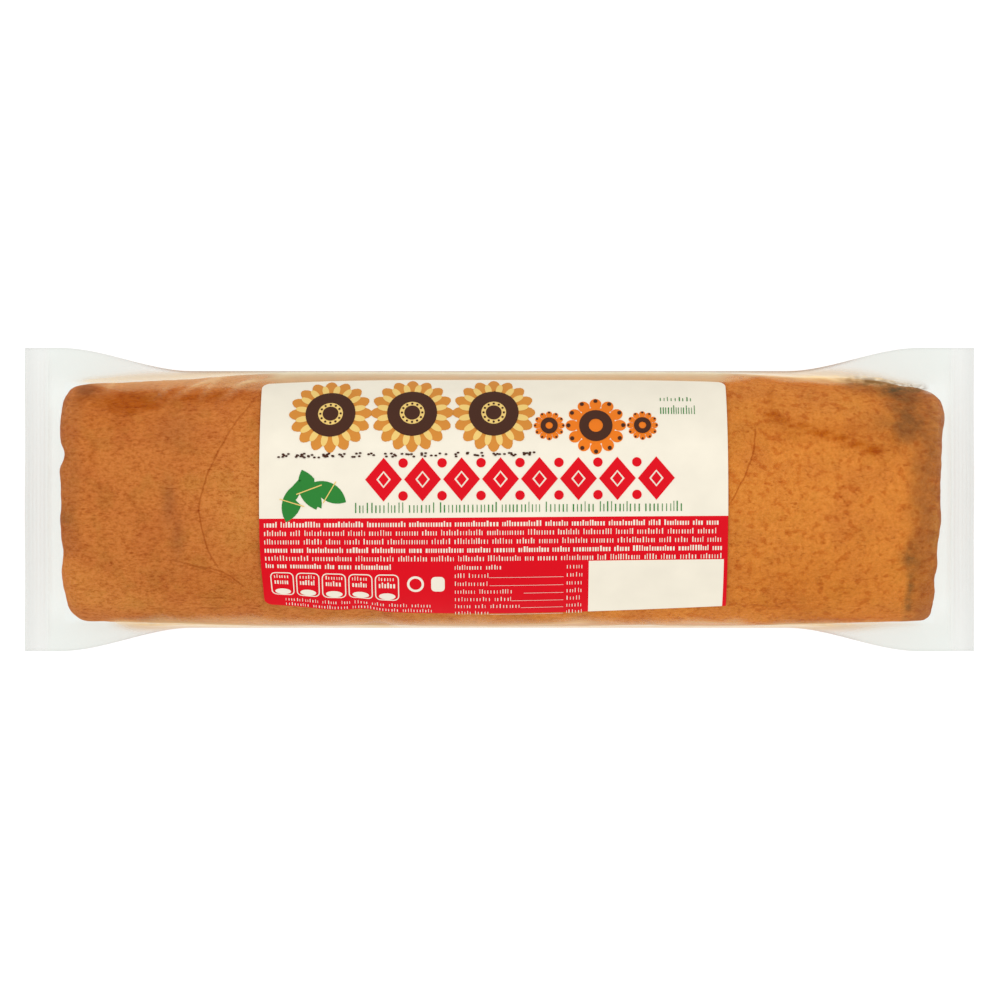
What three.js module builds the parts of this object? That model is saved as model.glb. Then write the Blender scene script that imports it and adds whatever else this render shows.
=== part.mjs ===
// A poppy seed roll, sold whole in a clear flow-wrap with a paper label stuck across its domed top.
// The wrap is sealed all round the roll, so it is one solid with its outer form: the taut tube over the roll,
// the ears where the tube flares to the two flat seals, and the crimped seals themselves.
// The label is a thin curved solid of its own, lying on the wrap.
// Millimetres, +Z up, +X along the roll. The origin is under its middle, on the surface it lies on.
import * as THREE from "three";

// The whole pack
const PACK_LENGTH = 285; // from cut edge to cut edge
const SEAL_WIDTH = 91; // of each flat end seal
const SEAL_DEPTH = 7; // of the crimped strip, along the pack
const BODY_WIDTH = 77; // where the roll is widest
const HEIGHT = 52; // from the base to the crown
const SEAM_HEIGHT = 23; // of the end seals, level with the widest part
const BASE_WIDTH = 48; // of the flat that the roll was baked on

// How the tube changes along the pack, as distances from its middle
const FLARE_START = 89; // the film leaves the roll's sides
const FLARE_LENGTH = 40; // from there to where it reaches the width of the seal
const FLARE_LEAN = 3; // how much sooner it does both at +X, and later at -X
const TURN_START = 124; // the film turns over the rim of the roll's end
const TURN_POWER = 3; // more is squarer
const TURN_ROOT = 0.85; // less meets the seal more steeply

// The flat end seals
const SEAL_ROOT = PACK_LENGTH / 2 - SEAL_DEPTH;
const SEAL_THICKNESS = 0.5;
const RIB_COUNT = 6;
const RIB_RELIEF = 0.22; // each side of the middle
const DROOP = 1.4; // of the cut edge below the seam height
const WAVE = 0.5; // height of the cut edge's slow wave
const WAVE_LENGTH = 41;
const DROOP_START = 118;

// The label
const LABEL_LENGTH = 137.2;
const LABEL_CENTRE_X = -1.7;
const LABEL_TOP = 39.1; // girth of its upper edge from the crown, at its ends
const LABEL_BOTTOM = -35.2;
const LABEL_TILT = 0.0066; // rise of its lines towards +X
const LABEL_BOW = 3.3; // of its long edges, outwards
const LABEL_CURL = 1.5; // of its corner at -X and -Y
const LABEL_THICKNESS = 0.25;
const LABEL_GAP = 0.15; // so that the label only rests on the film
const LABEL_CORNER = 2.4;

// How finely the curves are cut
const UPPER_STEPS = 24; // round the dome
const CORNER_STEPS = 8; // round each lower corner
const BASE_STEPS = UPPER_STEPS - 2 * CORNER_STEPS; // across the flat base
const FLARE_STEPS = 9;
const TURN_STEPS = 8;
const LABEL_COLUMNS = 8;
const LABEL_ROWS = 14;
const CORNER_ROWS = 4;

const HALF_LENGTH = PACK_LENGTH / 2;
const HALF_BODY = BODY_WIDTH / 2;
const HALF_SEAL = SEAL_WIDTH / 2;
const HALF_BASE = BASE_WIDTH / 2;
const DOME = HEIGHT - SEAM_HEIGHT;
const LOWER_CORNER = HALF_BODY - HALF_BASE;

// The angle at which a straight line from the seal's corner touches each curve of the section.
const UPPER_TOUCH = Math.acos(HALF_BODY / HALF_SEAL);
const LOWER_TOUCH = Math.acos(LOWER_CORNER / (HALF_SEAL - HALF_BASE));

const smoothstep = THREE.MathUtils.smoothstep;

// A point of the dome, as [y, height over the seam], at an angle from the +Y side.
function domePoint(angle) {
  return [HALF_BODY * Math.cos(angle), DOME * Math.sin(angle)];
}

// A point of the lower corner on the +Y side, at an angle down from the widest level.
function cornerPoint(angle) {
  return [HALF_BASE + LOWER_CORNER * Math.cos(angle), -SEAM_HEIGHT * Math.sin(angle)];
}

// Near the seal the film runs straight from the ear's tip to where it touches the roll.
function stretched(point, angle, touchAngle, touchPoint, tip, flare) {
  if (angle >= touchAngle) return point;
  const share = angle / touchAngle;
  const onLine = [tip + (touchPoint[0] - tip) * share, touchPoint[1] * share];
  return [
    THREE.MathUtils.lerp(point[0], onLine[0], flare),
    THREE.MathUtils.lerp(point[1], onLine[1], flare),
  ];
}

// 0 along the roll and 1 where the film has flattened out to the seal's width.
function flareAt(x) {
  return smoothstep(Math.abs(x) + FLARE_LEAN * Math.sign(x), FLARE_START, FLARE_START + FLARE_LENGTH);
}

// How far the film at this place hangs away from the seam height, where it is shut.
function sag(x, y, shut) {
  const reach = Math.max(0, (Math.abs(x) - DROOP_START) / (HALF_LENGTH - DROOP_START));
  const phase = x > 0 ? 0.6 : 2.1;
  const wave = WAVE * Math.sin((2 * Math.PI * y) / WAVE_LENGTH + phase);
  return (1 - shut) * reach * reach * (wave - DROOP);
}

// The upper side of the film's section at x, from the +Y tip to the -Y tip.
function upperRow(x, shut) {
  const flare = flareAt(x);
  const row = [];
  for (let j = 0; j <= UPPER_STEPS; j++) {
    const angle = (Math.PI * j) / UPPER_STEPS;
    const fromTip = Math.min(angle, Math.PI - angle);
    const side = angle <= Math.PI / 2 ? 1 : -1;
    const [y, z] = stretched(
      domePoint(fromTip), fromTip, UPPER_TOUCH, domePoint(UPPER_TOUCH), HALF_SEAL, flare,
    );
    row.push([side * y, shut * z]);
  }
  return row;
}

// The lower side, likewise: a corner, the flat base and the other corner.
function lowerRow(x, shut) {
  const flare = flareAt(x);
  const corner = [];
  for (let j = 0; j <= CORNER_STEPS; j++) {
    const angle = (Math.PI / 2) * (j / CORNER_STEPS);
    const [y, z] = stretched(
      cornerPoint(angle), angle, LOWER_TOUCH, cornerPoint(LOWER_TOUCH), HALF_SEAL, flare,
    );
    corner.push([y, shut * z]);
  }
  const flat = [];
  for (let j = 1; j < BASE_STEPS; j++)
    flat.push([HALF_BASE * (1 - (2 * j) / BASE_STEPS), -shut * SEAM_HEIGHT]);
  const far = corner.map(([y, z]) => [-y, z]).reverse();
  return [...corner, ...flat, ...far];
}

// One ring of the film: the upper row, then the lower row back, sharing the two tips.
function ring({ x, shut, rib }) {
  const least = SEAL_THICKNESS / 2;
  const upper = upperRow(x, shut);
  const lower = lowerRow(x, shut).slice(1, -1);
  const tips = new Set([0, UPPER_STEPS]);
  const place = ([y, z], j, sign) => {
    const off = sign > 0 && tips.has(j) ? 0 : sign * Math.max(Math.abs(z), least);
    return new THREE.Vector3(x, y, SEAM_HEIGHT + off + rib + sag(x, y, shut));
  };
  return [
    ...upper.map((p, j) => place(p, j, 1)),
    ...lower.map((p, j) => place(p, j, -1)).reverse(),
  ];
}

// The stations of the +X half, from the middle outwards.
function stations() {
  const list = [];
  for (let k = 0; k <= FLARE_STEPS; k++) {
    const x = THREE.MathUtils.lerp(FLARE_START - FLARE_LEAN, TURN_START, k / FLARE_STEPS);
    list.push({ x, shut: 1, rib: 0 });
  }
  for (let k = 1; k <= TURN_STEPS; k++) {
    const reach = Math.sin((Math.PI / 2) * (k / TURN_STEPS));
    const shut = Math.pow(1 - Math.pow(reach, TURN_POWER), TURN_ROOT);
    list.push({ x: THREE.MathUtils.lerp(TURN_START, SEAL_ROOT, reach), shut, rib: 0 });
  }
  const pitch = SEAL_DEPTH / (2 * RIB_COUNT);
  for (let k = 1; k <= 2 * RIB_COUNT; k++) {
    const last = k === 2 * RIB_COUNT;
    const rib = last ? 0 : k % 2 ? RIB_RELIEF : -RIB_RELIEF;
    list.push({ x: SEAL_ROOT + pitch * k, shut: 0, rib });
  }
  return list;
}

// A closed solid from rings of equal length. Each end ring is closed by strips between its two sides.
function loft(rings) {
  const count = rings[0].length;
  const positions = [];
  const faces = [];
  for (const points of rings) for (const p of points) positions.push(p.x, p.y, p.z);
  for (let r = 0; r + 1 < rings.length; r++)
    for (let k = 0; k < count; k++) {
      const a = r * count + k;
      const b = r * count + ((k + 1) % count);
      faces.push(a, b, b + count, a, b + count, a + count);
    }
  const half = count / 2;
  const last = (rings.length - 1) * count;
  for (let k = 0; k < half; k++) {
    const down = (count - k) % count;
    const downNext = count - k - 1;
    faces.push(k, down, k + 1);
    faces.push(last + k, last + k + 1, last + down);
    if (k + 1 < half) {
      faces.push(down, downNext, k + 1);
      faces.push(last + down, last + k + 1, last + downNext);
    }
  }
  const usable = [];
  for (let k = 0; k < faces.length; k += 3) {
    const [a, b, c] = faces.slice(k, k + 3);
    if (a !== b && b !== c && c !== a) usable.push(a, b, c);
  }
  const geometry = new THREE.BufferGeometry();
  geometry.setAttribute("position", new THREE.Float32BufferAttribute(positions, 3));
  geometry.setIndex(usable);
  geometry.computeVertexNormals();
  return geometry;
}

// The sealed wrap, filled by the roll.
function wrappedRoll() {
  const outward = stations();
  const inward = outward.map((s) => ({ ...s, x: -s.x })).reverse();
  const middle = [{ x: 0, shut: 1, rib: 0 }];
  const rings = [...inward, ...middle, ...outward].map(ring);
  return loft(rings);
}

// Arc length round the dome from the +Y side to an angle, by short steps.
function girthTo(angle) {
  const steps = 400;
  let sum = 0;
  for (let k = 0; k < steps; k++) {
    const mid = (angle * (k + 0.5)) / steps;
    sum += Math.hypot(HALF_BODY * Math.sin(mid), DOME * Math.cos(mid)) * (angle / steps);
  }
  return sum;
}

// The angle at which the arc length from the +Y side reaches a girth.
function angleAt(girth) {
  let low = 0;
  let high = Math.PI;
  for (let k = 0; k < 40; k++) {
    const mid = (low + high) / 2;
    if (girthTo(mid) < girth) low = mid;
    else high = mid;
  }
  return (low + high) / 2;
}

// The label's rows across its flat sheet: their place, and how far the round corners cut into them.
function labelRows() {
  const places = [];
  for (let k = 0; k <= CORNER_ROWS; k++) {
    const inset = LABEL_CORNER * (1 - Math.cos((Math.PI / 2) * (k / CORNER_ROWS)));
    places.push(LABEL_BOTTOM + inset, LABEL_TOP - inset);
  }
  for (let k = 1; k < LABEL_ROWS; k++)
    places.push(THREE.MathUtils.lerp(LABEL_BOTTOM + LABEL_CORNER, LABEL_TOP - LABEL_CORNER, k / LABEL_ROWS));
  places.sort((a, b) => b - a);
  return places.map((v) => {
    const fromEdge = Math.min(v - LABEL_BOTTOM, LABEL_TOP - v);
    const into = Math.max(0, LABEL_CORNER - fromEdge);
    const cut = LABEL_CORNER - Math.sqrt(Math.max(0, LABEL_CORNER ** 2 - into ** 2));
    return { v, low: cut - LABEL_LENGTH / 2, high: LABEL_LENGTH / 2 - (v > 0 ? cut : 0) };
  });
}

// Girth from the crown of a place on the flat label: it sits askew, bows outwards and curls at one corner.
function labelGirth(u, v) {
  const bowed = LABEL_BOW * (v / 38) ** 3 * (1 - ((2 * u) / LABEL_LENGTH) ** 2);
  const curled = LABEL_CURL * smoothstep(-u, 30, 68) * smoothstep(-v, 15, 36);
  return v + LABEL_TILT * u + bowed + curled;
}

// A point at a height over the dome, along the dome's own outward direction.
function overDome(x, angle, lift) {
  const [y, z] = domePoint(angle);
  const out = new THREE.Vector2(y / HALF_BODY ** 2, z / DOME ** 2).normalize();
  return new THREE.Vector3(x, y + out.x * lift, SEAM_HEIGHT + z + out.y * lift);
}

// The label: one ring for each row, with its lower face first and its upper face back.
function label() {
  const crown = girthTo(Math.PI / 2);
  const rings = labelRows().map(({ v, low, high }) => {
    const under = [];
    const over = [];
    for (let k = 0; k <= LABEL_COLUMNS; k++) {
      const u = THREE.MathUtils.lerp(low, high, k / LABEL_COLUMNS);
      const angle = angleAt(crown - labelGirth(u, v));
      under.push(overDome(LABEL_CENTRE_X + u, angle, LABEL_GAP));
      over.push(overDome(LABEL_CENTRE_X + u, angle, LABEL_GAP + LABEL_THICKNESS));
    }
    return [...under, ...over.reverse()];
  });
  return slab(rings);
}

// A thin closed sheet from rings that run along its lower face and back along its upper face.
function slab(rings) {
  const count = rings[0].length;
  const positions = rings.flat().flatMap((p) => [p.x, p.y, p.z]);
  const faces = [];
  for (let r = 0; r + 1 < rings.length; r++)
    for (let k = 0; k < count; k++) {
      const a = r * count + k;
      const b = r * count + ((k + 1) % count);
      faces.push(a, b, b + count, a, b + count, a + count);
    }
  const last = (rings.length - 1) * count;
  for (let k = 0; k + 1 < count / 2; k++) {
    const back = count - 1 - k;
    faces.push(k, back, k + 1, k + 1, back, back - 1);
    faces.push(last + k, last + k + 1, last + back, last + k + 1, last + back - 1, last + back);
  }
  const geometry = new THREE.BufferGeometry();
  geometry.setAttribute("position", new THREE.Float32BufferAttribute(positions, 3));
  geometry.setIndex(faces);
  geometry.computeVertexNormals();
  return geometry;
}

function piece(name, geometry, color, roughness) {
  const material = new THREE.MeshStandardMaterial({ color, roughness, metalness: 0 });
  const mesh = new THREE.Mesh(geometry, material);
  mesh.name = name;
  return mesh;
}

const pack = new THREE.Group();
pack.add(piece("wrapped_roll", wrappedRoll(), 0xc9793a, 0.35));
pack.add(piece("label", label(), 0xf5eedb, 0.55));

export default pack;
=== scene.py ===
import math
import random

import bmesh
import bpy
import numpy as np
from bpy.props import FloatProperty, FloatVectorProperty, IntProperty, PointerProperty
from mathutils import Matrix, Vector, noise


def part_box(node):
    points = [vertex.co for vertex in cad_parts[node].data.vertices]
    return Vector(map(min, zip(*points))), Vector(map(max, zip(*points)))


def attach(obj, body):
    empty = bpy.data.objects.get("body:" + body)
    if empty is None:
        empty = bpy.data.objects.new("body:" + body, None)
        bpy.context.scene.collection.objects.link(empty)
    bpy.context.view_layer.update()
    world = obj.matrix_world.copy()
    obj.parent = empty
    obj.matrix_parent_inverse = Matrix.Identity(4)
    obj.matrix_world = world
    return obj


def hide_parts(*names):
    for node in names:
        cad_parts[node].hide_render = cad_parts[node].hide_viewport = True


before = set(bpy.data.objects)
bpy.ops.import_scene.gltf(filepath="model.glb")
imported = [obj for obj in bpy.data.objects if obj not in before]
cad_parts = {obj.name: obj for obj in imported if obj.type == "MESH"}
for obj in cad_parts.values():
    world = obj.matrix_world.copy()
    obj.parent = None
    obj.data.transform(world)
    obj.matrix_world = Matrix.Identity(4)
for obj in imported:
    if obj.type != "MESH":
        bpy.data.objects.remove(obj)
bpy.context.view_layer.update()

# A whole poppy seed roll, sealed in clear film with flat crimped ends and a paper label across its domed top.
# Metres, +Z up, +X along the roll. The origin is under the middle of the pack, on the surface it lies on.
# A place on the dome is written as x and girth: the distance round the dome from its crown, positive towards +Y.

bl_info = {
    "name": "Poppy seed roll in film",
    "version": (1, 0, 0),
    "blender": (4, 5, 0),
    "location": "3D View > Sidebar > Seed roll",
    "description": "Builds a wrapped poppy seed roll round its packed solids",
    "category": "Object",
}

MM = 0.001
PACK_LOW, PACK_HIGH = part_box("wrapped_roll")
LABEL_LOW, LABEL_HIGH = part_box("label")

# The film's form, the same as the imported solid's
HALF_LENGTH = PACK_HIGH.x
HALF_SEAL = PACK_HIGH.y
SEAM_HEIGHT = 23 * MM
DOME = 52 * MM - SEAM_HEIGHT
HALF_BODY = 38.5 * MM
HALF_BASE = 24 * MM
LOWER_CORNER = HALF_BODY - HALF_BASE
SEAL_ROOT = HALF_LENGTH - 7 * MM
GAP_START = 128.8 * MM
FLARE_START, FLARE_LENGTH, FLARE_LEAN = 89 * MM, 40 * MM, 3 * MM
TURN_START, TURN_POWER, TURN_ROOT = 124 * MM, 3.0, 0.85
DROOP_START, DROOP = 118 * MM, 1.4 * MM
WAVE, WAVE_LENGTH = 0.5 * MM, 41 * MM
UPPER_TOUCH = math.acos(HALF_BODY / HALF_SEAL)
LOWER_TOUCH = math.acos(LOWER_CORNER / (HALF_SEAL - HALF_BASE))

# The label's place on the dome
LABEL_X = (LABEL_LOW.x + LABEL_HIGH.x) / 2
HALF_LABEL = (LABEL_HIGH.x - LABEL_LOW.x) / 2
LABEL_GAP = 0.15 * MM


def linear(hexcode):
    """Linear red, green and blue from an sRGB hex value."""
    shares = [int(hexcode[k : k + 2], 16) / 255 for k in (0, 2, 4)]
    return [s / 12.92 if s <= 0.04045 else ((s + 0.055) / 1.055) ** 2.4 for s in shares]


def smoothstep(value, low, high):
    """0 below low, 1 above high and smooth between them."""
    share = np.clip((value - low) / (high - low), 0, 1)
    return share * share * (3 - 2 * share)


# Settings that a user would change


class RollSettings(bpy.types.PropertyGroup):
    """Sizes and colours of the baked roll."""

    length: FloatProperty(name="Length", description="From end to end", default=260.6 * MM, unit="LENGTH")
    rim: FloatProperty(name="Rim", description="Radius of its end rims", default=4.3 * MM, unit="LENGTH")
    inset: FloatProperty(name="Inset", description="How far it lies inside the film", default=0.45 * MM, unit="LENGTH")
    taper: FloatProperty(name="Taper", description="Share of its width lost at the ends", default=0.06, subtype="FACTOR")
    grid: FloatProperty(name="Grid", description="Spacing of its mesh", default=0.9 * MM, unit="LENGTH")
    relief: FloatProperty(name="Relief", description="Depth of its wrinkles", default=0.3 * MM, unit="LENGTH")
    crust: FloatVectorProperty(name="Crust", description="Well baked half", subtype="COLOR", default=linear("dc7f3a"))
    pale_crust: FloatVectorProperty(name="Pale crust", description="Lighter half", subtype="COLOR", default=linear("ef8f3a"))
    ruddy_crust: FloatVectorProperty(name="Ruddy crust", description="Patches", subtype="COLOR", default=linear("cc6a30"))
    stain: FloatVectorProperty(name="Stain", description="Where filling soaks through", subtype="COLOR", default=linear("5e4628"))
    filling: FloatVectorProperty(name="Filling", description="Ground poppy seed", subtype="COLOR", default=linear("33261f"))


class FilmSettings(bpy.types.PropertyGroup):
    """Sizes and colour of the clear film."""

    ribs: IntProperty(name="Ribs", description="Crimped ribs in each end seal", default=6)
    rib_relief: FloatProperty(name="Rib relief", description="Height of a rib", default=0.1 * MM, unit="LENGTH")
    seal: FloatProperty(name="Seal", description="Thickness of an end seal", default=0.4 * MM, unit="LENGTH")
    wrinkle: FloatProperty(name="Wrinkle", description="Height of the film's wrinkles", default=0.5 * MM, unit="LENGTH")
    tint: FloatVectorProperty(name="Tint", description="Of light through one layer", subtype="COLOR", default=(0.908, 0.935, 0.925))
    haze: FloatProperty(name="Haze", description="Milkiness where it clings", default=0.008, subtype="FACTOR")
    # painted glare: this haze also stands for glare on the film's flanks
    loose_and_glare_haze: FloatProperty(name="Loose haze", description="Milkiness added where it stands off", default=0.5, subtype="FACTOR")
    gap_haze: FloatProperty(name="Gap haze", description="Milkiness added past the roll's ends", default=0.02, subtype="FACTOR")
    warm: FloatVectorProperty(name="Warm", description="Light thrown back by the crust", subtype="COLOR", default=(0.95, 0.68, 0.32))
    seal_haze: FloatProperty(name="Seal haze", description="Milkiness of the end seals", default=0.12, subtype="FACTOR")
    seam_width: FloatProperty(name="Seam", description="Width of the seam below", default=12 * MM, unit="LENGTH")


class LabelSettings(bpy.types.PropertyGroup):
    """Sizes and inks of the label."""

    top: FloatProperty(name="Top", description="Girth of its upper edge", default=39.1 * MM, unit="LENGTH")
    bottom: FloatProperty(name="Bottom", description="Girth of its lower edge", default=-35.2 * MM, unit="LENGTH")
    corner: FloatProperty(name="Corner", description="Corner radius", default=2.4 * MM, unit="LENGTH")
    thickness: FloatProperty(name="Thickness", description="Of the paper", default=0.2 * MM, unit="LENGTH")
    field: FloatProperty(name="Field", description="Girth where red meets cream", default=-5.2 * MM, unit="LENGTH")
    paper: FloatVectorProperty(name="Paper", description="Cream ground", subtype="COLOR", default=linear("f7efdc"))
    red: FloatVectorProperty(name="Red", description="Red ink", subtype="COLOR", default=linear("e2081c"))
    green: FloatVectorProperty(name="Green", description="Green ink", subtype="COLOR", default=linear("2f8436"))
    orange: FloatVectorProperty(name="Orange", description="Orange ink", subtype="COLOR", default=linear("f07d1e"))
    brown: FloatVectorProperty(name="Brown", description="Brown ink", subtype="COLOR", default=linear("4a2b1e"))
    gold: FloatVectorProperty(name="Gold", description="Golden ink", subtype="COLOR", default=linear("d98e3a"))
    straw: FloatVectorProperty(name="Straw", description="Straw ink", subtype="COLOR", default=linear("f3cf7a"))


class StageSettings(bpy.types.PropertyGroup):
    """The floor, the lights and the camera."""

    height: FloatProperty(name="Height", description="Of the camera over the seams", default=1.15, unit="LENGTH")
    view: FloatProperty(name="View", description="Width seen at the seams", default=0.3, unit="LENGTH")
    world: FloatProperty(name="World", description="Strength of the light all round", default=0.78)
    overhead: FloatProperty(name="Overhead", description="Radiance of the overhead softbox", default=0.55)
    side: FloatProperty(name="Side", description="Radiance of the side softbox", default=1.2)
    floor: FloatVectorProperty(name="Floor", description="Floor colour", subtype="COLOR", default=linear("8c8c8c"))
    glow: FloatProperty(name="Glow", description="Light from within the floor", default=0.87)


# The form of the film


def flare(x):
    """0 along the roll and 1 where the film has flattened out to the seal's width, which is sooner at +X."""
    reach = np.abs(x) + FLARE_LEAN * np.sign(x)
    return smoothstep(reach, FLARE_START, FLARE_START + FLARE_LENGTH)


def sag(x, y, shut):
    """How far the film hangs below the seam height, where it is shut."""
    reach = np.clip((np.abs(x) - DROOP_START) / (HALF_LENGTH - DROOP_START), 0, None)
    phase = np.where(x > 0, 0.6, 2.1)
    wave = WAVE * np.sin(2 * np.pi * y / WAVE_LENGTH + phase)
    return (1 - shut) * reach**2 * (wave - DROOP)


def dome_angle(girth):
    """Angle from the +Y side to the place on the dome at a girth from the crown."""
    angles = np.linspace(0, np.pi, 4001)
    steps = np.hypot(np.diff(HALF_BODY * np.cos(angles)), np.diff(DOME * np.sin(angles)))
    around = np.concatenate([[0], np.cumsum(steps)])
    return np.interp(around[-1] / 2 - girth, around, angles)


def dimples(x, girth):
    """How far roll, film and label lie pressed in, as a depth along the dome's inward direction."""
    fold = np.exp(-(((x + 41 * MM) + 0.35 * (girth + 34 * MM)) / (4.5 * MM)) ** 2)
    fold = 0.9 * MM * fold * smoothstep(-girth, 24 * MM, 36 * MM)
    swell = 0.35 * MM * np.exp(-(((x + 51 * MM) / (5 * MM)) ** 2)) * smoothstep(-girth, 26 * MM, 38 * MM)
    slack = 0.25 * MM * (1 + np.sin(x / (19 * MM) + girth / (31 * MM)))
    return fold - swell + slack


def on_dome(x, girth, lift):
    """Points over the dome, at a height along its outward direction."""
    angle = dome_angle(girth)
    y, z = HALF_BODY * np.cos(angle), DOME * np.sin(angle)
    out_y, out_z = y / HALF_BODY**2, z / DOME**2
    size = np.hypot(out_y, out_z)
    lift = lift - dimples(x, girth)
    return np.stack([x, y + lift * out_y / size, SEAM_HEIGHT + z + lift * out_z / size], axis=-1)


# Modelling helpers


def deselect_all():
    bpy.ops.object.select_all(action="DESELECT")


def edit(obj):
    """Opens an object alone in edit mode."""
    deselect_all()
    obj.select_set(True)
    bpy.context.view_layer.objects.active = obj
    bpy.ops.object.mode_set(mode="EDIT")


def leave_edit():
    bpy.ops.object.mode_set(mode="OBJECT")


def select(kind, test):
    """Selects the open mesh's verts, edges or faces that pass a test."""
    mesh = bmesh.from_edit_mesh(bpy.context.object.data)
    bpy.ops.mesh.select_mode(type={"verts": "VERT", "edges": "EDGE", "faces": "FACE"}[kind])
    bpy.ops.mesh.select_all(action="DESELECT")
    for element in getattr(mesh, kind):
        if test(element):
            element.select_set(True)
    mesh.select_flush_mode()
    bmesh.update_edit_mesh(bpy.context.object.data)


def apply_modifier(obj, kind, **settings):
    modifier = obj.modifiers.new(kind.title(), kind)
    for name, value in settings.items():
        setattr(modifier, name, value)
    bpy.context.view_layer.objects.active = obj
    bpy.ops.object.modifier_apply(modifier=modifier.name)


def points_of(obj, what="co"):
    """The places, or normals, of a mesh's vertices as rows."""
    rows = np.zeros(len(obj.data.vertices) * 3)
    obj.data.vertices.foreach_get(what, rows)
    return rows.reshape(-1, 3)


def move_points(obj, rows):
    obj.data.vertices.foreach_set("co", np.ascontiguousarray(rows).ravel())
    obj.data.update()


def mark(obj, name, values):
    """Writes a value for each vertex, for a material to read."""
    layer = obj.data.attributes.new(name, "FLOAT", "POINT")
    layer.data.foreach_set("value", np.asarray(values, np.float32))


def finish_piece(obj, name, materials, replaced=()):
    """Names a finished piece, gives it its materials and lets it ride on the pack."""
    obj.name = obj.data.name = name
    for material in materials:
        obj.data.materials.append(material)
    deselect_all()
    obj.select_set(True)
    bpy.context.view_layer.objects.active = obj
    bpy.ops.object.shade_smooth_by_angle(angle=math.radians(40))
    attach(obj, "root")
    if replaced:
        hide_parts(*replaced)
    return obj


# Materials

# Dark arcs painted on the crust as the shade of thin creases the film presses in; the mesh has no crease there: centre
# x and y, radius, window of x and y, strength
CREASE_SHADE_ARCS = (
    (-57.9 * MM, -3.4 * MM, 29.8 * MM, (-92 * MM, -80 * MM, -21 * MM, 10 * MM), 0.75),
    (-15.9 * MM, -19.9 * MM, 74.8 * MM, (-88 * MM, -72 * MM, 7 * MM, 31 * MM), 0.65),
    (26.8 * MM, 26.2 * MM, 48.9 * MM, (66 * MM, 80 * MM, -2 * MM, 22 * MM), 0.85),
    (-91.5 * MM, -43.3 * MM, 24 * MM, (-91 * MM, -74 * MM, -27 * MM, -17 * MM), 0.65),
    (-104.6 * MM, -71.7 * MM, 54.4 * MM, (-99 * MM, -76 * MM, -26 * MM, -16 * MM), 0.45),
    (-85.5 * MM, -128.8 * MM, 100 * MM, (-91 * MM, -80 * MM, -31 * MM, -27 * MM), 0.5),
    (-84 * MM, -132 * MM, 100 * MM, (-90 * MM, -78 * MM, -34 * MM, -30 * MM), 0.6),
    (76.5 * MM, -51.2 * MM, 20 * MM, (73 * MM, 81 * MM, -33 * MM, -29 * MM), 0.6),
    (92 * MM, -70 * MM, 40 * MM, (80 * MM, 90 * MM, -34 * MM, -28 * MM), 0.45),
)
DEEP_SHADE = (0.68, 0.46, 0.26)  # share of red, green and blue left in the crust's darkest grain
LIGHT_SHADE = (1.12, 1.2, 1.4)
OLIVE_SHADE = (0.86, 0.95, 0.82)
BLOTCH_SHADE = (0.84, 0.66, 0.5)
BROWNED_SHADE = (0.72, 0.5, 0.14)
DULL_SHADE = (0.62, 0.59, 0.76)
PALE_SHADE = (1.13, 1.32, 1.36)
EAR_TINT = (0.977, 0.968, 0.956)  # share of the film's own tint that passes in the empty ears, and in the seals
SEAL_TINT = (0.993, 0.972, 0.967)
GAP_TINT = (0.92, 0.941, 0.923)  # of light through the film close round the roll's ends
HALO_SHADE = (0.79, 0.76, 0.8)  # share of the film's warm light just outside the roll
# darker on the near side: painted shade, where less light falls
NEAR_HALO_SHADE = (0.78, 0.68, 0.62)
ABOVE_SHADE = (0.78, 0.95, 1.12)  # where it is loose above the label
# painted shade: the brown of a line along the film's far edge, where it is seen edge on
EDGE_SHADE_COLOUR = (0.42, 0.3, 0.19)  # of the film's outermost fold along the roll
SMEAR_COLOUR = (0.21, 0.105, 0.035)  # of filling smeared on the film by the right end


def node(tree, kind, inputs=None, **settings):
    """Adds a node with its settings. An input given a socket is linked, and any other is set."""
    made = tree.nodes.new(kind)
    for name, value in settings.items():
        setattr(made, name, value)
    for name, value in (inputs or {}).items():
        if isinstance(value, bpy.types.NodeSocket):
            tree.links.new(value, made.inputs[name])
        else:
            made.inputs[name].default_value = value
    return made


def new_material(name):
    material = bpy.data.materials.new(name)
    material.use_nodes = True
    material.node_tree.nodes.clear()
    return material, material.node_tree


def blend_colours(tree, share, first, second, mode="MIX"):
    """A colour between two, or their product, by a share that is a socket or a number."""
    mix = node(tree, "ShaderNodeMix", data_type="RGBA", blend_type=mode)
    for index, value in ((0, share), (6, first), (7, second)):
        if isinstance(value, bpy.types.NodeSocket):
            tree.links.new(value, mix.inputs[index])
        elif index:
            mix.inputs[index].default_value = (*value, 1)
        else:
            mix.inputs[index].default_value = value
    return mix.outputs[2]


def reckon(tree, operation, first, second=0.0, third=0.0, clamp=False):
    """A sum, product or other reckoning of two or three values."""
    made = node(tree, "ShaderNodeMath", operation=operation, use_clamp=clamp)
    for index, value in enumerate((first, second, third)):
        if isinstance(value, bpy.types.NodeSocket):
            tree.links.new(value, made.inputs[index])
        else:
            made.inputs[index].default_value = value
    return made.outputs[0]


def spread(tree, value, low, high, to_low=0.0, to_high=1.0, smooth=False):
    """A value's range low to high, spread over another range."""
    kind = "SMOOTHSTEP" if smooth else "LINEAR"
    limits = {"Value": value, "From Min": low, "From Max": high, "To Min": to_low, "To Max": to_high}
    return node(tree, "ShaderNodeMapRange", limits, interpolation_type=kind).outputs[0]


def clouds(tree, place, size, detail=3.0, roughness=0.55):
    """Noise with features of a size, from about 0.3 to 0.7."""
    inputs = {"Vector": place, "Scale": 1 / size, "Detail": detail, "Roughness": roughness}
    return node(tree, "ShaderNodeTexNoise", inputs).outputs["Fac"]


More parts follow.
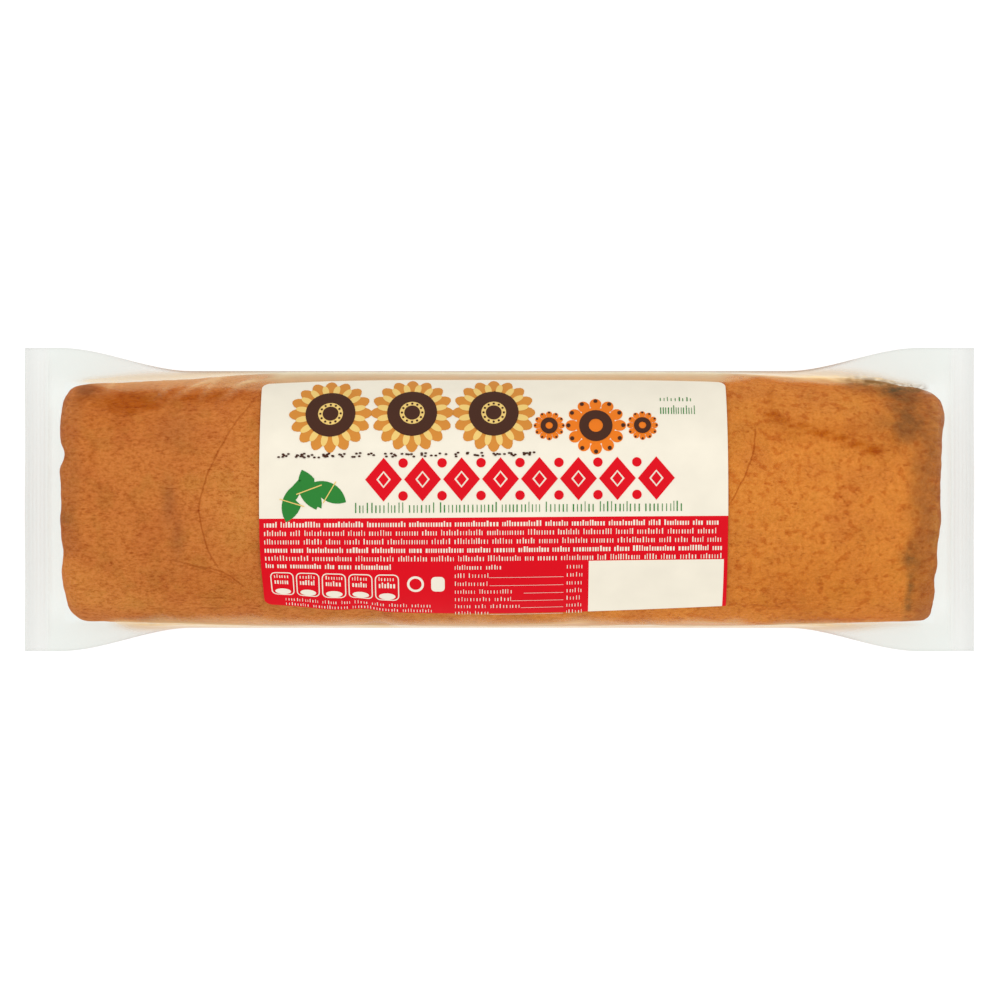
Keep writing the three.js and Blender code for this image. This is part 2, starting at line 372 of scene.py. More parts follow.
def marked(tree, name):
    """A value that the mesh carries."""
    return node(tree, "ShaderNodeAttribute", attribute_name=name).outputs["Fac"]


def darker(tree, colour, shares):
    """A colour with each of its channels multiplied."""
    return blend_colours(tree, 1.0, colour, shares, "MULTIPLY")


def crease_shade_line(tree, place, x, y, centre, radius, window):
    """1 along a thin arc over the crust inside a window of x and y, and 0 away from it."""
    wobble = spread(tree, clouds(tree, place, 8 * MM), 0.3, 0.7, -0.35 * MM, 0.35 * MM)
    from_x, from_y = reckon(tree, "SUBTRACT", x, centre[0]), reckon(tree, "SUBTRACT", y, centre[1])
    square = reckon(tree, "MULTIPLY_ADD", from_x, from_x, reckon(tree, "MULTIPLY", from_y, from_y))
    off = reckon(tree, "SUBTRACT", reckon(tree, "SQRT", square), radius)
    off = reckon(tree, "ABSOLUTE", reckon(tree, "ADD", off, wobble))
    line = spread(tree, off, 0.05 * MM, 0.45 * MM, 1.0, 0.0, smooth=True)
    fade = 2 * MM
    for value, low, high in ((x, *window[:2]), (y, *window[2:])):
        line = reckon(tree, "MULTIPLY", line, spread(tree, value, low, low + fade))
        line = reckon(tree, "MULTIPLY", line, spread(tree, value, high, high - fade))
    return line


def baked_crust(settings):
    """Egg-glazed yeast crust: matte, with short dark streaks that turn to blotches on the paler half."""
    material, tree = new_material("Baked yeast crust")
    place = node(tree, "ShaderNodeTexCoord").outputs["Object"]
    axes = node(tree, "ShaderNodeSeparateXYZ", {"Vector": place}).outputs
    x, y = axes["X"], axes["Y"]
    right = spread(tree, x, -70 * MM, 70 * MM, smooth=True)

    # Ground: well baked on the left, paler on the right, with ruddy and olive patches of 10 to 30 mm
    ground = blend_colours(tree, right, settings.crust, settings.pale_crust)
    ruddy = spread(tree, clouds(tree, place, 12 * MM, 3.0), 0.45, 0.65)
    ruddy = reckon(tree, "MULTIPLY", ruddy, spread(tree, right, 0, 1, 0.5, 0.28))
    ground = blend_colours(tree, ruddy, ground, settings.ruddy_crust)
    olive = spread(tree, clouds(tree, place, 8 * MM, 3.0), 0.5, 0.66)
    olive = reckon(tree, "MULTIPLY", olive, spread(tree, right, 0, 1, 0.6, 0.3))
    ground = blend_colours(tree, olive, ground, darker(tree, ground, OLIVE_SHADE))

    # Grain from 1 mm down to 0.2 mm, drawn out along the roll on the left
    drawn = reckon(tree, "MULTIPLY", x, spread(tree, right, 0, 1, 0.65, 0.9))
    warped = node(tree, "ShaderNodeCombineXYZ", {"X": drawn, "Y": y, "Z": axes["Z"]}).outputs[0]
    grain = clouds(tree, warped, 1.0 * MM, 2.0, spread(tree, right, 0, 1, 0.8, 0.7))
    dark = spread(tree, grain, 0.5, 0.68, 0.0, 1.0)
    dark = reckon(tree, "MULTIPLY", dark, spread(tree, right, 0, 1, 0.65, 0.3))
    light = spread(tree, grain, 0.5, 0.34, 0.0, 0.9)
    light = reckon(tree, "MULTIPLY", light, spread(tree, right, 0, 1, 0.85, 0.75))
    ground = blend_colours(tree, dark, ground, darker(tree, ground, DEEP_SHADE))
    ground = blend_colours(tree, light, ground, darker(tree, ground, LIGHT_SHADE))

    # Short dark strokes about 0.4 mm wide
    long_x = reckon(tree, "MULTIPLY", x, spread(tree, right, 0, 1, 0.44, 0.5))
    strokes = node(tree, "ShaderNodeCombineXYZ", {"X": long_x, "Y": y, "Z": axes["Z"]}).outputs[0]
    stroke = spread(tree, clouds(tree, strokes, 0.7 * MM, 1.0, 0.6), 0.57, 0.7)
    stroke = reckon(tree, "MULTIPLY", stroke, spread(tree, clouds(tree, place, 6 * MM), 0.42, 0.62, 0.08, 0.8))
    stroke = reckon(tree, "MULTIPLY", stroke, spread(tree, right, 0, 1, 0.9, 0.8))
    ground = blend_colours(tree, stroke, ground, darker(tree, ground, DEEP_SHADE))

    # Soft blotches of 2 to 3 mm on the paler half, and paler and browner parts of 20 mm all over
    blotch = spread(tree, clouds(tree, warped, 2.1 * MM, 2.0, 0.5), 0.5, 0.68, smooth=True)
    blotch = reckon(tree, "MULTIPLY", blotch, spread(tree, right, 0, 1, 0.2, 0.95))
    ground = blend_colours(tree, blotch, ground, darker(tree, ground, BLOTCH_SHADE))

    # Pits under 1 mm across, some 4 mm apart
    pit = node(tree, "ShaderNodeTexVoronoi", {"Vector": warped, "Scale": 1 / (2.6 * MM), "Randomness": 1.0}).outputs
    pitted = spread(tree, pit["Distance"], 0.05, 0.2, 1.0, 0.0)
    chosen = node(tree, "ShaderNodeSeparateColor", {"Color": pit["Color"]}).outputs[0]
    pitted = reckon(tree, "MULTIPLY", pitted, spread(tree, chosen, 0.7, 1.0, 0.0, 0.7))
    ground = blend_colours(tree, pitted, ground, darker(tree, ground, DEEP_SHADE))

    # Painted shade of creases pressed in by the film on both sides of the label, as thin dark arcs
    for centre_x, centre_y, radius, window, strength in CREASE_SHADE_ARCS:
        crease_shade = crease_shade_line(tree, place, x, y, (centre_x, centre_y), radius, window)
        crease_shade = reckon(tree, "MULTIPLY", crease_shade, strength)
        ground = blend_colours(tree, crease_shade, ground, darker(tree, ground, DEEP_SHADE))

    # Browner, duller and paler patches, stains and filling, where the mesh marks them. These marks also carry painted
    # shade along the far flank on the left and on the end strips, and painted light along the near flank's outline and
    # the right end's edge
    ragged = spread(tree, clouds(tree, warped, 3.5 * MM, 5.0, 0.65), 0.36, 0.6, 0.35, 1.0)
    browned = reckon(tree, "MULTIPLY", marked(tree, "browned"), ragged, clamp=True)
    # painted shade along the far left flank, with browner patches
    colour = blend_colours(tree, browned, ground, darker(tree, ground, BROWNED_SHADE))
    # painted light on the near flank and the right end's edge, with paler patches
    colour = blend_colours(tree, marked(tree, "pale"), colour, darker(tree, colour, PALE_SHADE))
    # painted shade on the end strips, with duller patches
    dulled_and_painted_shade = reckon(tree, "MULTIPLY", marked(tree, "dull"), spread(tree, ragged, 0.35, 1, 0.75, 1), clamp=True)
    colour = blend_colours(tree, dulled_and_painted_shade, colour, darker(tree, colour, DULL_SHADE))
    soaked = reckon(tree, "MULTIPLY", marked(tree, "stain"), ragged, clamp=True)
    colour = blend_colours(tree, soaked, colour, settings.stain)
    colour = blend_colours(tree, marked(tree, "filling"), colour, settings.filling)

    hollows = reckon(tree, "MAXIMUM", reckon(tree, "MAXIMUM", dark, stroke), pitted)
    height = reckon(tree, "SUBTRACT", light, reckon(tree, "MULTIPLY", hollows, 1.2))
    bump = node(tree, "ShaderNodeBump", {"Strength": 0.5, "Distance": 0.12 * MM, "Height": height})
    surface = node(
        tree, "ShaderNodeBsdfPrincipled",
        {"Base Color": colour, "Roughness": 0.72, "IOR": 1.45, "Specular IOR Level": 0.06, "Normal": bump.outputs[0]},
    )
    node(tree, "ShaderNodeOutputMaterial", {"Surface": surface.outputs[0]})
    return material


def clear_film(settings):
    """Clear polypropylene film: nearly invisible face on, pale and shiny edge on, milky where it is sealed or loose.
    Its milky bands carry painted glare and painted warm light thrown back by the crust, with painted glints and a line
    of painted shade along its far edge.
    """
    material, tree = new_material("Clear polypropylene film")
    place = node(tree, "ShaderNodeTexCoord").outputs["Object"]
    axes = node(tree, "ShaderNodeSeparateXYZ", {"Vector": place}).outputs
    reach = reckon(tree, "ABSOLUTE", axes["X"])
    milky = spread(tree, reach, SEAL_ROOT - 1 * MM, SEAL_ROOT + 1 * MM, settings.haze, settings.seal_haze)
    loose = marked(tree, "loose")
    facing = node(tree, "ShaderNodeLayerWeight", {"Blend": 0.5}).outputs["Facing"]
    over = marked(tree, "over")
    taut = marked(tree, "taut")
    grazing = reckon(tree, "MULTIPLY_ADD", taut, spread(tree, facing, 0.12, 0.5, -0.85, 0), 1.0)
    milky = reckon(tree, "MULTIPLY_ADD", reckon(tree, "MULTIPLY", loose, grazing), settings.loose_and_glare_haze, milky)
    milky = reckon(tree, "MULTIPLY_ADD", marked(tree, "gap"), settings.gap_haze, milky)
    edge_on = reckon(tree, "MULTIPLY", reckon(tree, "POWER", facing, 3.0), spread(tree, over, 0, 1, 0.3, 0.16))
    edge_on = reckon(tree, "MULTIPLY", edge_on, spread(tree, marked(tree, "gap"), 0, 1, 1, 0.4))
    cover = reckon(tree, "ADD", edge_on, milky, clamp=True)
    halos = [[c * s for c, s in zip(settings.warm, shade)] for shade in (NEAR_HALO_SHADE, HALO_SHADE)]
    halo = blend_colours(tree, spread(tree, axes["Y"], -1 * MM, 1 * MM), *halos)
    warm = blend_colours(tree, over, halo, settings.warm)
    above = spread(tree, axes["Y"], 20 * MM, 30 * MM)
    above = reckon(tree, "MULTIPLY", above, spread(tree, reach, 66 * MM, 80 * MM, 1.0, 0.0))
    warm = blend_colours(tree, above, warm, darker(tree, warm, ABOVE_SHADE))
    # painted light: over the roll and just outside it, the film's skin takes the crust's warm bounce light
    glow = blend_colours(tree, marked(tree, "warmth"), (0.95, 0.96, 0.94), warm)
    bump = node(tree, "ShaderNodeBump", {"Strength": 0.1, "Distance": 0.3 * MM, "Height": clouds(tree, place, 14 * MM)})
    sealed = spread(tree, reach, SEAL_ROOT - 1 * MM, SEAL_ROOT + 1 * MM)
    off = blend_colours(tree, sealed, [c * s for c, s in zip(settings.tint, EAR_TINT)], [c * s for c, s in zip(settings.tint, SEAL_TINT)])
    outer = spread(tree, reach, HALF_LENGTH - 4 * MM, HALF_LENGTH - 1 * MM, 0.0, 1.0)
    off = blend_colours(tree, outer, off, darker(tree, off, (0.965, 0.965, 0.965)))
    # the light through the film is a little darker along its outermost line
    off = blend_colours(tree, marked(tree, "edge"), off, darker(tree, off, (0.95, 0.95, 0.95)))
    colour = blend_colours(tree, over, off, settings.tint)
    colour = blend_colours(tree, marked(tree, "gap"), colour, GAP_TINT)
    through = node(tree, "ShaderNodeBsdfTransparent", {"Color": colour})
    skin = node(
        tree, "ShaderNodeBsdfPrincipled",
        {"Base Color": glow, "Roughness": 0.14, "IOR": 1.5, "Normal": bump.outputs[0]},
    )
    mixed = node(tree, "ShaderNodeMixShader", {0: cover, 1: through.outputs[0], 2: skin.outputs[0]})
    # Painted shade: a brown line along the film's outermost edge where it is seen edge on, mostly on the far side
    shaded = node(tree, "ShaderNodeBsdfDiffuse", {"Color": (*EDGE_SHADE_COLOUR, 1)})
    edgewise = reckon(tree, "MULTIPLY_ADD", taut, spread(tree, facing, 0.6, 0.9, -1, 0), 1.0)
    edge_shade_share = reckon(tree, "MULTIPLY", reckon(tree, "MULTIPLY", marked(tree, "fold"), edgewise), 0.9)
    mixed = node(tree, "ShaderNodeMixShader", {0: edge_shade_share, 1: mixed.outputs[0], 2: shaded.outputs[0]})
    smeared = node(tree, "ShaderNodeBsdfDiffuse", {"Color": (*SMEAR_COLOUR, 1)})
    streaks = reckon(tree, "MULTIPLY", marked(tree, "smear"), spread(tree, clouds(tree, place, 2.4 * MM), 0.38, 0.62, 0.15, 0.95))
    mixed = node(tree, "ShaderNodeMixShader", {0: streaks, 1: mixed.outputs[0], 2: smeared.outputs[0]})
    node(tree, "ShaderNodeOutputMaterial", {"Surface": mixed.outputs[0]})
    return material


def coated_paper(name, colour):
    """Coated label paper under one ink: smooth with a low satin shine and a trace of fibre, with painted shade towards
    its far edge, where it turns away from the light.
    """
    material, tree = new_material(name)
    place = node(tree, "ShaderNodeTexCoord").outputs["Object"]
    fibre = node(tree, "ShaderNodeTexNoise", {"Vector": place, "Scale": 1 / (0.7 * MM), "Detail": 3.0}).outputs["Fac"]
    cloud = node(tree, "ShaderNodeTexNoise", {"Vector": place, "Scale": 1 / (9 * MM), "Detail": 2.0}).outputs["Fac"]
    tone = node(tree, "ShaderNodeMapRange", {"Value": cloud, "From Min": 0.3, "From Max": 0.7, "To Min": 0.97, "To Max": 1.02})
    y = node(tree, "ShaderNodeSeparateXYZ", {"Vector": place}).outputs["Y"]
    # painted shade: darker towards the far (+Y) edge
    shade = reckon(tree, "MULTIPLY", tone.outputs[0], spread(tree, y, 16 * MM, 34 * MM, 1.01, 0.86))
    grey = node(tree, "ShaderNodeCombineColor", {"Red": shade, "Green": shade, "Blue": shade})
    inked = blend_colours(tree, 1.0, colour, grey.outputs[0], "MULTIPLY")
    bump = node(tree, "ShaderNodeBump", {"Strength": 0.12, "Distance": 0.05 * MM, "Height": fibre})
    surface = node(
        tree, "ShaderNodeBsdfPrincipled",
        {"Base Color": inked, "Roughness": 0.45, "IOR": 1.5, "Specular IOR Level": 0.08, "Normal": bump.outputs[0]},
    )
    node(tree, "ShaderNodeOutputMaterial", {"Surface": surface.outputs[0]})
    return material


# The baked roll

# Hollows in the ends: place across the roll, depth and reach
LEFT_DENTS = (
    (13.4 * MM, 1.7 * MM, 3.2 * MM), (-1 * MM, 1.1 * MM, 13 * MM), (-16 * MM, 1.1 * MM, 6 * MM),
    (-28 * MM, 1.1 * MM, 5 * MM), (-37 * MM, 2.2 * MM, 5 * MM),
)
RIGHT_DENTS = (
    (6 * MM, 0.5 * MM, 9 * MM), (-14 * MM, 0.6 * MM, 5 * MM), (-24 * MM, 0.8 * MM, 3 * MM), (-36 * MM, -1.1 * MM, 2.5 * MM),
    (34.5 * MM, 3.0 * MM, 1.8 * MM), (25 * MM, -1.2 * MM, 5 * MM),
)
RIGHT_SLANT = 0.03
END_SHIFT = 0.7 * MM
COIL_TURNS = 2.9

# Marks on the crust, some of them painted shade or painted light: x, y, reach along x and y, strength
STAINS = (
    (108 * MM, 35.4 * MM, 5 * MM, 1.3 * MM, 0.6),
    (114.5 * MM, 34.8 * MM, 3.5 * MM, 1.5 * MM, 0.65),
    (118.5 * MM, 33.2 * MM, 6 * MM, 2.4 * MM, 1.0),
    (124 * MM, 34 * MM, 4 * MM, 1.4 * MM, 0.9),
    (120 * MM, 30 * MM, 5 * MM, 4 * MM, 0.5),
    (121 * MM, 23.5 * MM, 6.5 * MM, 6.5 * MM, 0.62),
    (127 * MM, 14 * MM, 3.5 * MM, 6 * MM, 0.32),
    # painted shade: darkens the right end's strip further
    (126 * MM, 2 * MM, 4.5 * MM, 16 * MM, 0.22),
    (-127.5 * MM, -6 * MM, 1.6 * MM, 2.6 * MM, 0.25),
    (121 * MM, -16.5 * MM, 2.6 * MM, 3.6 * MM, 0.85),
    (121.2 * MM, -28 * MM, 1.1 * MM, 7 * MM, 0.85),
)
BROWNED_AND_PAINTED_SHADE = (
    # painted shade: these two darken the far flank on the left, where it turns down from the light
    (-110 * MM, 29 * MM, 10 * MM, 3.4 * MM, 2.2),
    (-94 * MM, 30.5 * MM, 24 * MM, 2.4 * MM, 1.2),
    (-112 * MM, 24 * MM, 12 * MM, 5 * MM, 0.5),
    (-122 * MM, 31 * MM, 7 * MM, 3.5 * MM, 0.8),
    (-72 * MM, 24 * MM, 3 * MM, 4 * MM, 0.3),
    (-120 * MM, 13 * MM, 1.5 * MM, 4 * MM, 0.4),
    (-81 * MM, -24 * MM, 4 * MM, 3 * MM, 0.3),
    (80.3 * MM, 25 * MM, 2.4 * MM, 1.1 * MM, 1.9),
    (83 * MM, 23.4 * MM, 4 * MM, 1.2 * MM, 1.3),
    (88 * MM, 21.8 * MM, 4 * MM, 1.1 * MM, 1.4),
    (94.3 * MM, 19.8 * MM, 4.5 * MM, 1.3 * MM, 1.5),
    (99.5 * MM, 18.2 * MM, 4 * MM, 1.2 * MM, 1.4),
    (104 * MM, 16.4 * MM, 4 * MM, 1.2 * MM, 1.4),
    (110 * MM, 14.6 * MM, 5 * MM, 1.5 * MM, 1.4),
    (95 * MM, 19.8 * MM, 16 * MM, 3.2 * MM, 0.6),
    (115.7 * MM, 18 * MM, 1.0 * MM, 3 * MM, 0.8),
    (80 * MM, 30 * MM, 1.2 * MM, 3 * MM, 0.8),
    (85 * MM, -32 * MM, 18 * MM, 3 * MM, 0.6),
    (92 * MM, -27 * MM, 24 * MM, 9 * MM, 0.4),
    (-85 * MM, -27 * MM, 16 * MM, 4 * MM, 0.25),
)
DULLED = (
    (-95 * MM, 20 * MM, 6 * MM, 6 * MM, 0.5),
    (-97 * MM, -1 * MM, 2.2 * MM, 7 * MM, 0.8),
    (-94.5 * MM, -12 * MM, 2.2 * MM, 7 * MM, 0.65),
    (-123 * MM, 33.2 * MM, 4 * MM, 2.6 * MM, 1.3),
    (72 * MM, 20 * MM, 7 * MM, 9 * MM, 0.28),
    (76 * MM, 32 * MM, 9 * MM, 4 * MM, 0.5),
    (88 * MM, 31 * MM, 28 * MM, 10 * MM, 0.38),
    (121 * MM, 30 * MM, 7 * MM, 8 * MM, 1.3),
    (121.5 * MM, 21.5 * MM, 6 * MM, 7 * MM, 1.4),
    (126 * MM, 13 * MM, 5 * MM, 8 * MM, 1.1),
    (111 * MM, 22 * MM, 9 * MM, 8 * MM, 0.5),
)
PALED_AND_PAINTED_LIGHT = (
    (-75 * MM, 2 * MM, 9 * MM, 16 * MM, 1.0),
    (-91 * MM, -2 * MM, 5 * MM, 8 * MM, 0.5),
    # painted light: lifts the near flank on the left, where it turns away from the light
    (-116 * MM, -30 * MM, 14 * MM, 6 * MM, 0.75),
    (-117 * MM, 29.5 * MM, 4 * MM, 2.5 * MM, 0.6),
    (101.5 * MM, 29.5 * MM, 9 * MM, 6 * MM, 0.45),
    (-125 * MM, -24 * MM, 6 * MM, 7 * MM, 0.7),
    # painted highlight: these two make a paler line along the right end's edge
    (128.5 * MM, -9 * MM, 1.6 * MM, 7 * MM, 0.9),
    (129.5 * MM, 24 * MM, 1.6 * MM, 8 * MM, 1.0),
    (-128 * MM, 28 * MM, 3 * MM, 3 * MM, 0.5),
    # painted light: lifts the crust along the near outline, where its shade would fall
    (-90 * MM, -37.2 * MM, 30 * MM, 1.6 * MM, 1.1),
)
# Each end's strip of painted shade, darker where the crust turns down to the end: where it starts and is full, where it
# fades out towards -Y, and its strength
END_PAINTED_SHADE = ((-125.5 * MM, -121 * MM, -14 * MM, 0.45), (118 * MM, 124.5 * MM, -60 * MM, 1.0))


def oval_bar(settings):
    """An oval cylinder cut flat below, with its long and end edges rounded."""
    deselect_all()
    bpy.ops.mesh.primitive_cylinder_add(
        vertices=96, radius=1, depth=settings.length, location=(0, 0, SEAM_HEIGHT), rotation=(0, math.pi / 2, 0)
    )
    bar = bpy.context.object
    bpy.ops.object.transform_apply(location=True, rotation=True, scale=True)
    middle = (0, 0, SEAM_HEIGHT)
    base = settings.inset + 0.3 * MM
    edit(bar)
    bpy.ops.mesh.select_all(action="SELECT")
    width, crown = HALF_BODY - settings.inset, DOME - settings.inset
    bpy.ops.transform.resize(value=(1, width, crown), center_override=middle)
    bpy.ops.mesh.select_all(action="SELECT")
    bpy.ops.mesh.bisect(plane_co=(0, 0, base), plane_no=(0, 0, 1), clear_inner=True, use_fill=True)
    select("edges", lambda e: all(abs(v.co.z - base) < 0.01 * MM for v in e.verts) and abs(e.verts[0].co.x - e.verts[1].co.x) > 1 * MM)
    bpy.ops.mesh.bevel(offset=5 * MM, segments=5, affect="EDGES")
    end = settings.length / 2
    select("edges", lambda e: all(abs(abs(v.co.x) - end) < 0.01 * MM for v in e.verts))
    bpy.ops.mesh.bevel(offset=settings.rim, segments=7, affect="EDGES")
    leave_edit()
    return bar


def fuller(z):
    """How much wider than the oval bar the roll's lower half is, so that it fills the film's lower corners."""
    drop = np.clip(SEAM_HEIGHT - z, 0, SEAM_HEIGHT)
    film = HALF_BASE + LOWER_CORNER * np.sqrt(1 - (drop / SEAM_HEIGHT) ** 2)
    return film / (HALF_BODY * np.sqrt(1 - (drop / DOME) ** 2))


def taper_share(x):
    """0 along the roll and 1 at its ends, where it is narrowest."""
    return smoothstep(np.abs(x), 60 * MM, 128 * MM)


def shift_share(x):
    """0 along the roll and 1 towards its ends, where it lies a little nearer to -Y."""
    return smoothstep(np.abs(x), 40 * MM, 120 * MM)


def swelling(x, y):
    """How much further out the roll's +Y flank lies near its right end, before it falls back at both corners."""
    out = 0.9 * MM * np.exp(-(((x - 105 * MM) / (12 * MM)) ** 2)) - 1.1 * MM * smoothstep(x, 112 * MM, 125 * MM)
    out = out - 0.6 * MM * smoothstep(-x, 121 * MM, 127 * MM)
    return out * smoothstep(y, 18 * MM, 34 * MM)


def end_offsets(x, y):
    """How far the end faces lie in from their plain place, at each y."""
    off = np.zeros_like(y)
    for centre, depth, reach in LEFT_DENTS:
        off += np.where(x < 0, depth * np.exp(-(((y - centre) / reach) ** 2)), 0)
    for centre, depth, reach in RIGHT_DENTS:
        off += np.where(x > 0, depth * np.exp(-(((y - centre) / reach) ** 2)), 0)
    ragged = MM * (0.05 * np.sin(y / (1.1 * MM) + 3 * np.sign(x)) + 0.1 * np.sin(y / (2.9 * MM) + 1))
    return off + ragged - np.where(x > 0, RIGHT_SLANT * y, 0)


def coil(y, z):
    """1 on the line where the rolled dough's coil closes, and 0 away from it."""
    across, up = y / HALF_BODY, (z - SEAM_HEIGHT) / DOME
    radius = np.hypot(across, up)
    turn = np.arctan2(up, across) / (2 * np.pi)
    phase = (radius * COIL_TURNS - turn) % 1.0
    return np.exp(-(((phase - 0.5) / 0.13) ** 2)) * smoothstep(-radius, -0.93, -0.86)


def crust_relief(rows):
    """Depth of the crust's wrinkles and dents at each point, from 0 to about 1.6."""
    depths = np.zeros(len(rows))
    for k, (x, y, z) in enumerate(rows):
        wrinkle = noise.noise(Vector((x / (5 * MM), y / (2.2 * MM), z / (2.2 * MM))))
        pucker = noise.noise(Vector((x / (2.6 * MM) + 40, y / (1.9 * MM), z / (1.9 * MM))))
        dent = noise.noise(Vector((x / (17 * MM), y / (12 * MM) + 9, z / (12 * MM))))
        depths[k] = 0.35 * (1 - abs(wrinkle)) + 0.3 * (0.5 + pucker) + 0.8 * max(0.0, dent)
    return depths


def shape_roll(roll, settings):
    """Tapers the bar, shapes its ends and presses the crust's relief into it."""
    x, y, z = points_of(roll).T
    narrow = 1 - settings.taper * taper_share(x)
    foot = np.clip(z - 2 * settings.inset, 0, settings.rim)
    longest = settings.length / 2 - settings.rim + np.sqrt(settings.rim**2 - (settings.rim - foot) ** 2)
    x = np.clip(x, -longest, longest)
    y = y * narrow * fuller(z) - END_SHIFT * shift_share(x)
    y = y + swelling(x, y)
    z = np.where(z > SEAM_HEIGHT, SEAM_HEIGHT + (z - SEAM_HEIGHT) * narrow, z)
    near_end = smoothstep(np.abs(x), 112 * MM, settings.length / 2 - 1 * MM)
    offsets = end_offsets(x, y)
    offsets = np.where(offsets < 0, offsets * smoothstep(z, 4 * MM, 15 * MM), offsets)
    x = x - np.sign(x) * near_end * offsets
    move_points(roll, np.stack([x, y, z], axis=-1))

    rows, normals = points_of(roll), points_of(roll, "normal")
    x, y, z = rows.T
    face_on = smoothstep(np.abs(normals[:, 0]), 0.75, 0.97) * (np.abs(x) > 0.12)
    line = coil(y, z) * face_on
    girth = -np.sign(-y) * np.where(z > SEAM_HEIGHT, np.interp(np.abs(y), *girth_table()), 60 * MM)
    depth = settings.relief * crust_relief(rows) + 0.9 * MM * line
    depth += np.where(z > SEAM_HEIGHT, dimples(x, girth), 0.3 * MM) * (1 - face_on)
    move_points(roll, rows - depth[:, None] * normals)
    mark(roll, "filling", 0.85 * line)
    for name, places in (("stain", STAINS), ("browned", BROWNED_AND_PAINTED_SHADE), ("dull", DULLED), ("pale", PALED_AND_PAINTED_LIGHT)):
        strengths = [p[4] * np.exp(-(((x - p[0]) / p[2]) ** 2) - ((y - p[1]) / p[3]) ** 2) for p in places]
        if name == "dull":
            wave = 0.5 * MM * np.sin(y / (4 * MM)) + 0.3 * MM * np.sin(y / (1.7 * MM) + 1)
            for start, full, last, strength in END_PAINTED_SHADE:
                low, high = sorted((abs(start), abs(full)))
                strip = smoothstep(np.sign(start) * x + wave, low, high) * smoothstep(y, last - 4 * MM, last)
                strengths.append(strength * strip)
        mark(roll, name, np.where(z > 0.6 * SEAM_HEIGHT, np.max(strengths, axis=0), 0))


def girth_table():
    """Matching lists of y and girth over the dome's +Y half, for looking girth up."""
    girths = np.linspace(0, 53 * MM, 400)
    return HALF_BODY * np.cos(dome_angle(girths)), girths


class SEEDROLL_OT_roll(bpy.types.Operator):
    """Makes the baked roll: an oval bar, flat below, with worn rims, a coil at each end and a fine crust"""

    bl_idname = "seedroll.roll"
    bl_label = "Roll"

    def execute(self, context):
        settings = context.scene.seedroll_roll
        roll = oval_bar(settings)
        apply_modifier(roll, "REMESH", mode="VOXEL", voxel_size=settings.grid)
        apply_modifier(roll, "SMOOTH", factor=0.5, iterations=4)
        shape_roll(roll, settings)
        finish_piece(roll, "roll", [baked_crust(settings)])
        return {"FINISHED"}


# The film

COLUMNS = {"dome": 104, "corner": 26, "base": 32}


def section():
    """The film's columns round the pack, from under its middle by way of +Y: y, z over the seam height, the share of
    the way from the seal's tip to where a taut film touches the roll, that touching point, the side and the girth."""
    rows = []
    quarter = COLUMNS["base"] // 2
    for k in range(quarter):
        rows.append((HALF_BASE * k / quarter, -SEAM_HEIGHT, 2.0, 0.0, 0.0))
    touch = LOWER_TOUCH
    touch_y, touch_z = HALF_BASE + LOWER_CORNER * math.cos(touch), -SEAM_HEIGHT * math.sin(touch)
    for k in range(COLUMNS["corner"]):
        angle = (math.pi / 2) * (1 - k / COLUMNS["corner"])
        y, z = HALF_BASE + LOWER_CORNER * math.cos(angle), -SEAM_HEIGHT * math.sin(angle)
        rows.append((y, z, angle / touch, touch_y, touch_z))
    touch = UPPER_TOUCH
    touch_y, touch_z = HALF_BODY * math.cos(touch), DOME * math.sin(touch)
    for k in range(COLUMNS["dome"] // 2 + 1):
        angle = math.pi * k / COLUMNS["dome"]
        rows.append((HALF_BODY * math.cos(angle), DOME * math.sin(angle), angle / touch, touch_y, touch_z))
    near = np.array(rows)
    far = near[-2::-1] * [-1, 1, 1, -1, 1]
    both = np.vstack([near, far])
    side = np.where(np.arange(len(both)) < len(near), 1.0, -1.0)
    steps = np.hypot(np.diff(both[:, 0]), np.diff(both[:, 1]))
    girth = np.concatenate([[0], np.cumsum(steps)])
    return (*both.T, side, girth[len(near) - 1] - girth)


def stations(ribs, relief):
    """Along the pack: x, how far the section stands open, and the height of the ribs."""
    start = FLARE_START - FLARE_LEAN
    middle = np.linspace(-start, start, 135)
    widening = np.linspace(start, TURN_START, 33)[1:]
    reach = np.sin(np.linspace(0, np.pi / 2, 31)[1:])
    turn = TURN_START + (SEAL_ROOT - TURN_START) * reach
    per_rib = 8
    rib = np.linspace(SEAL_ROOT, HALF_LENGTH, ribs * per_rib + 1)[1:]
    half_x = np.concatenate([widening, turn, rib])
    half_open = np.concatenate([np.ones(32), np.clip(1 - reach**TURN_POWER, 0, 1) ** TURN_ROOT, np.zeros(len(rib))])
    wave = relief * np.sin(2 * np.pi * np.arange(1, len(rib) + 1) / per_rib)
    half_rib = np.concatenate([np.zeros(62), wave])
    x = np.concatenate([-half_x[::-1], middle, half_x])
    stand = np.concatenate([half_open[::-1], np.ones(len(middle)), half_open])
    return x, np.clip(stand, 0, 1), np.concatenate([half_rib[::-1], np.zeros(len(middle)), half_rib])


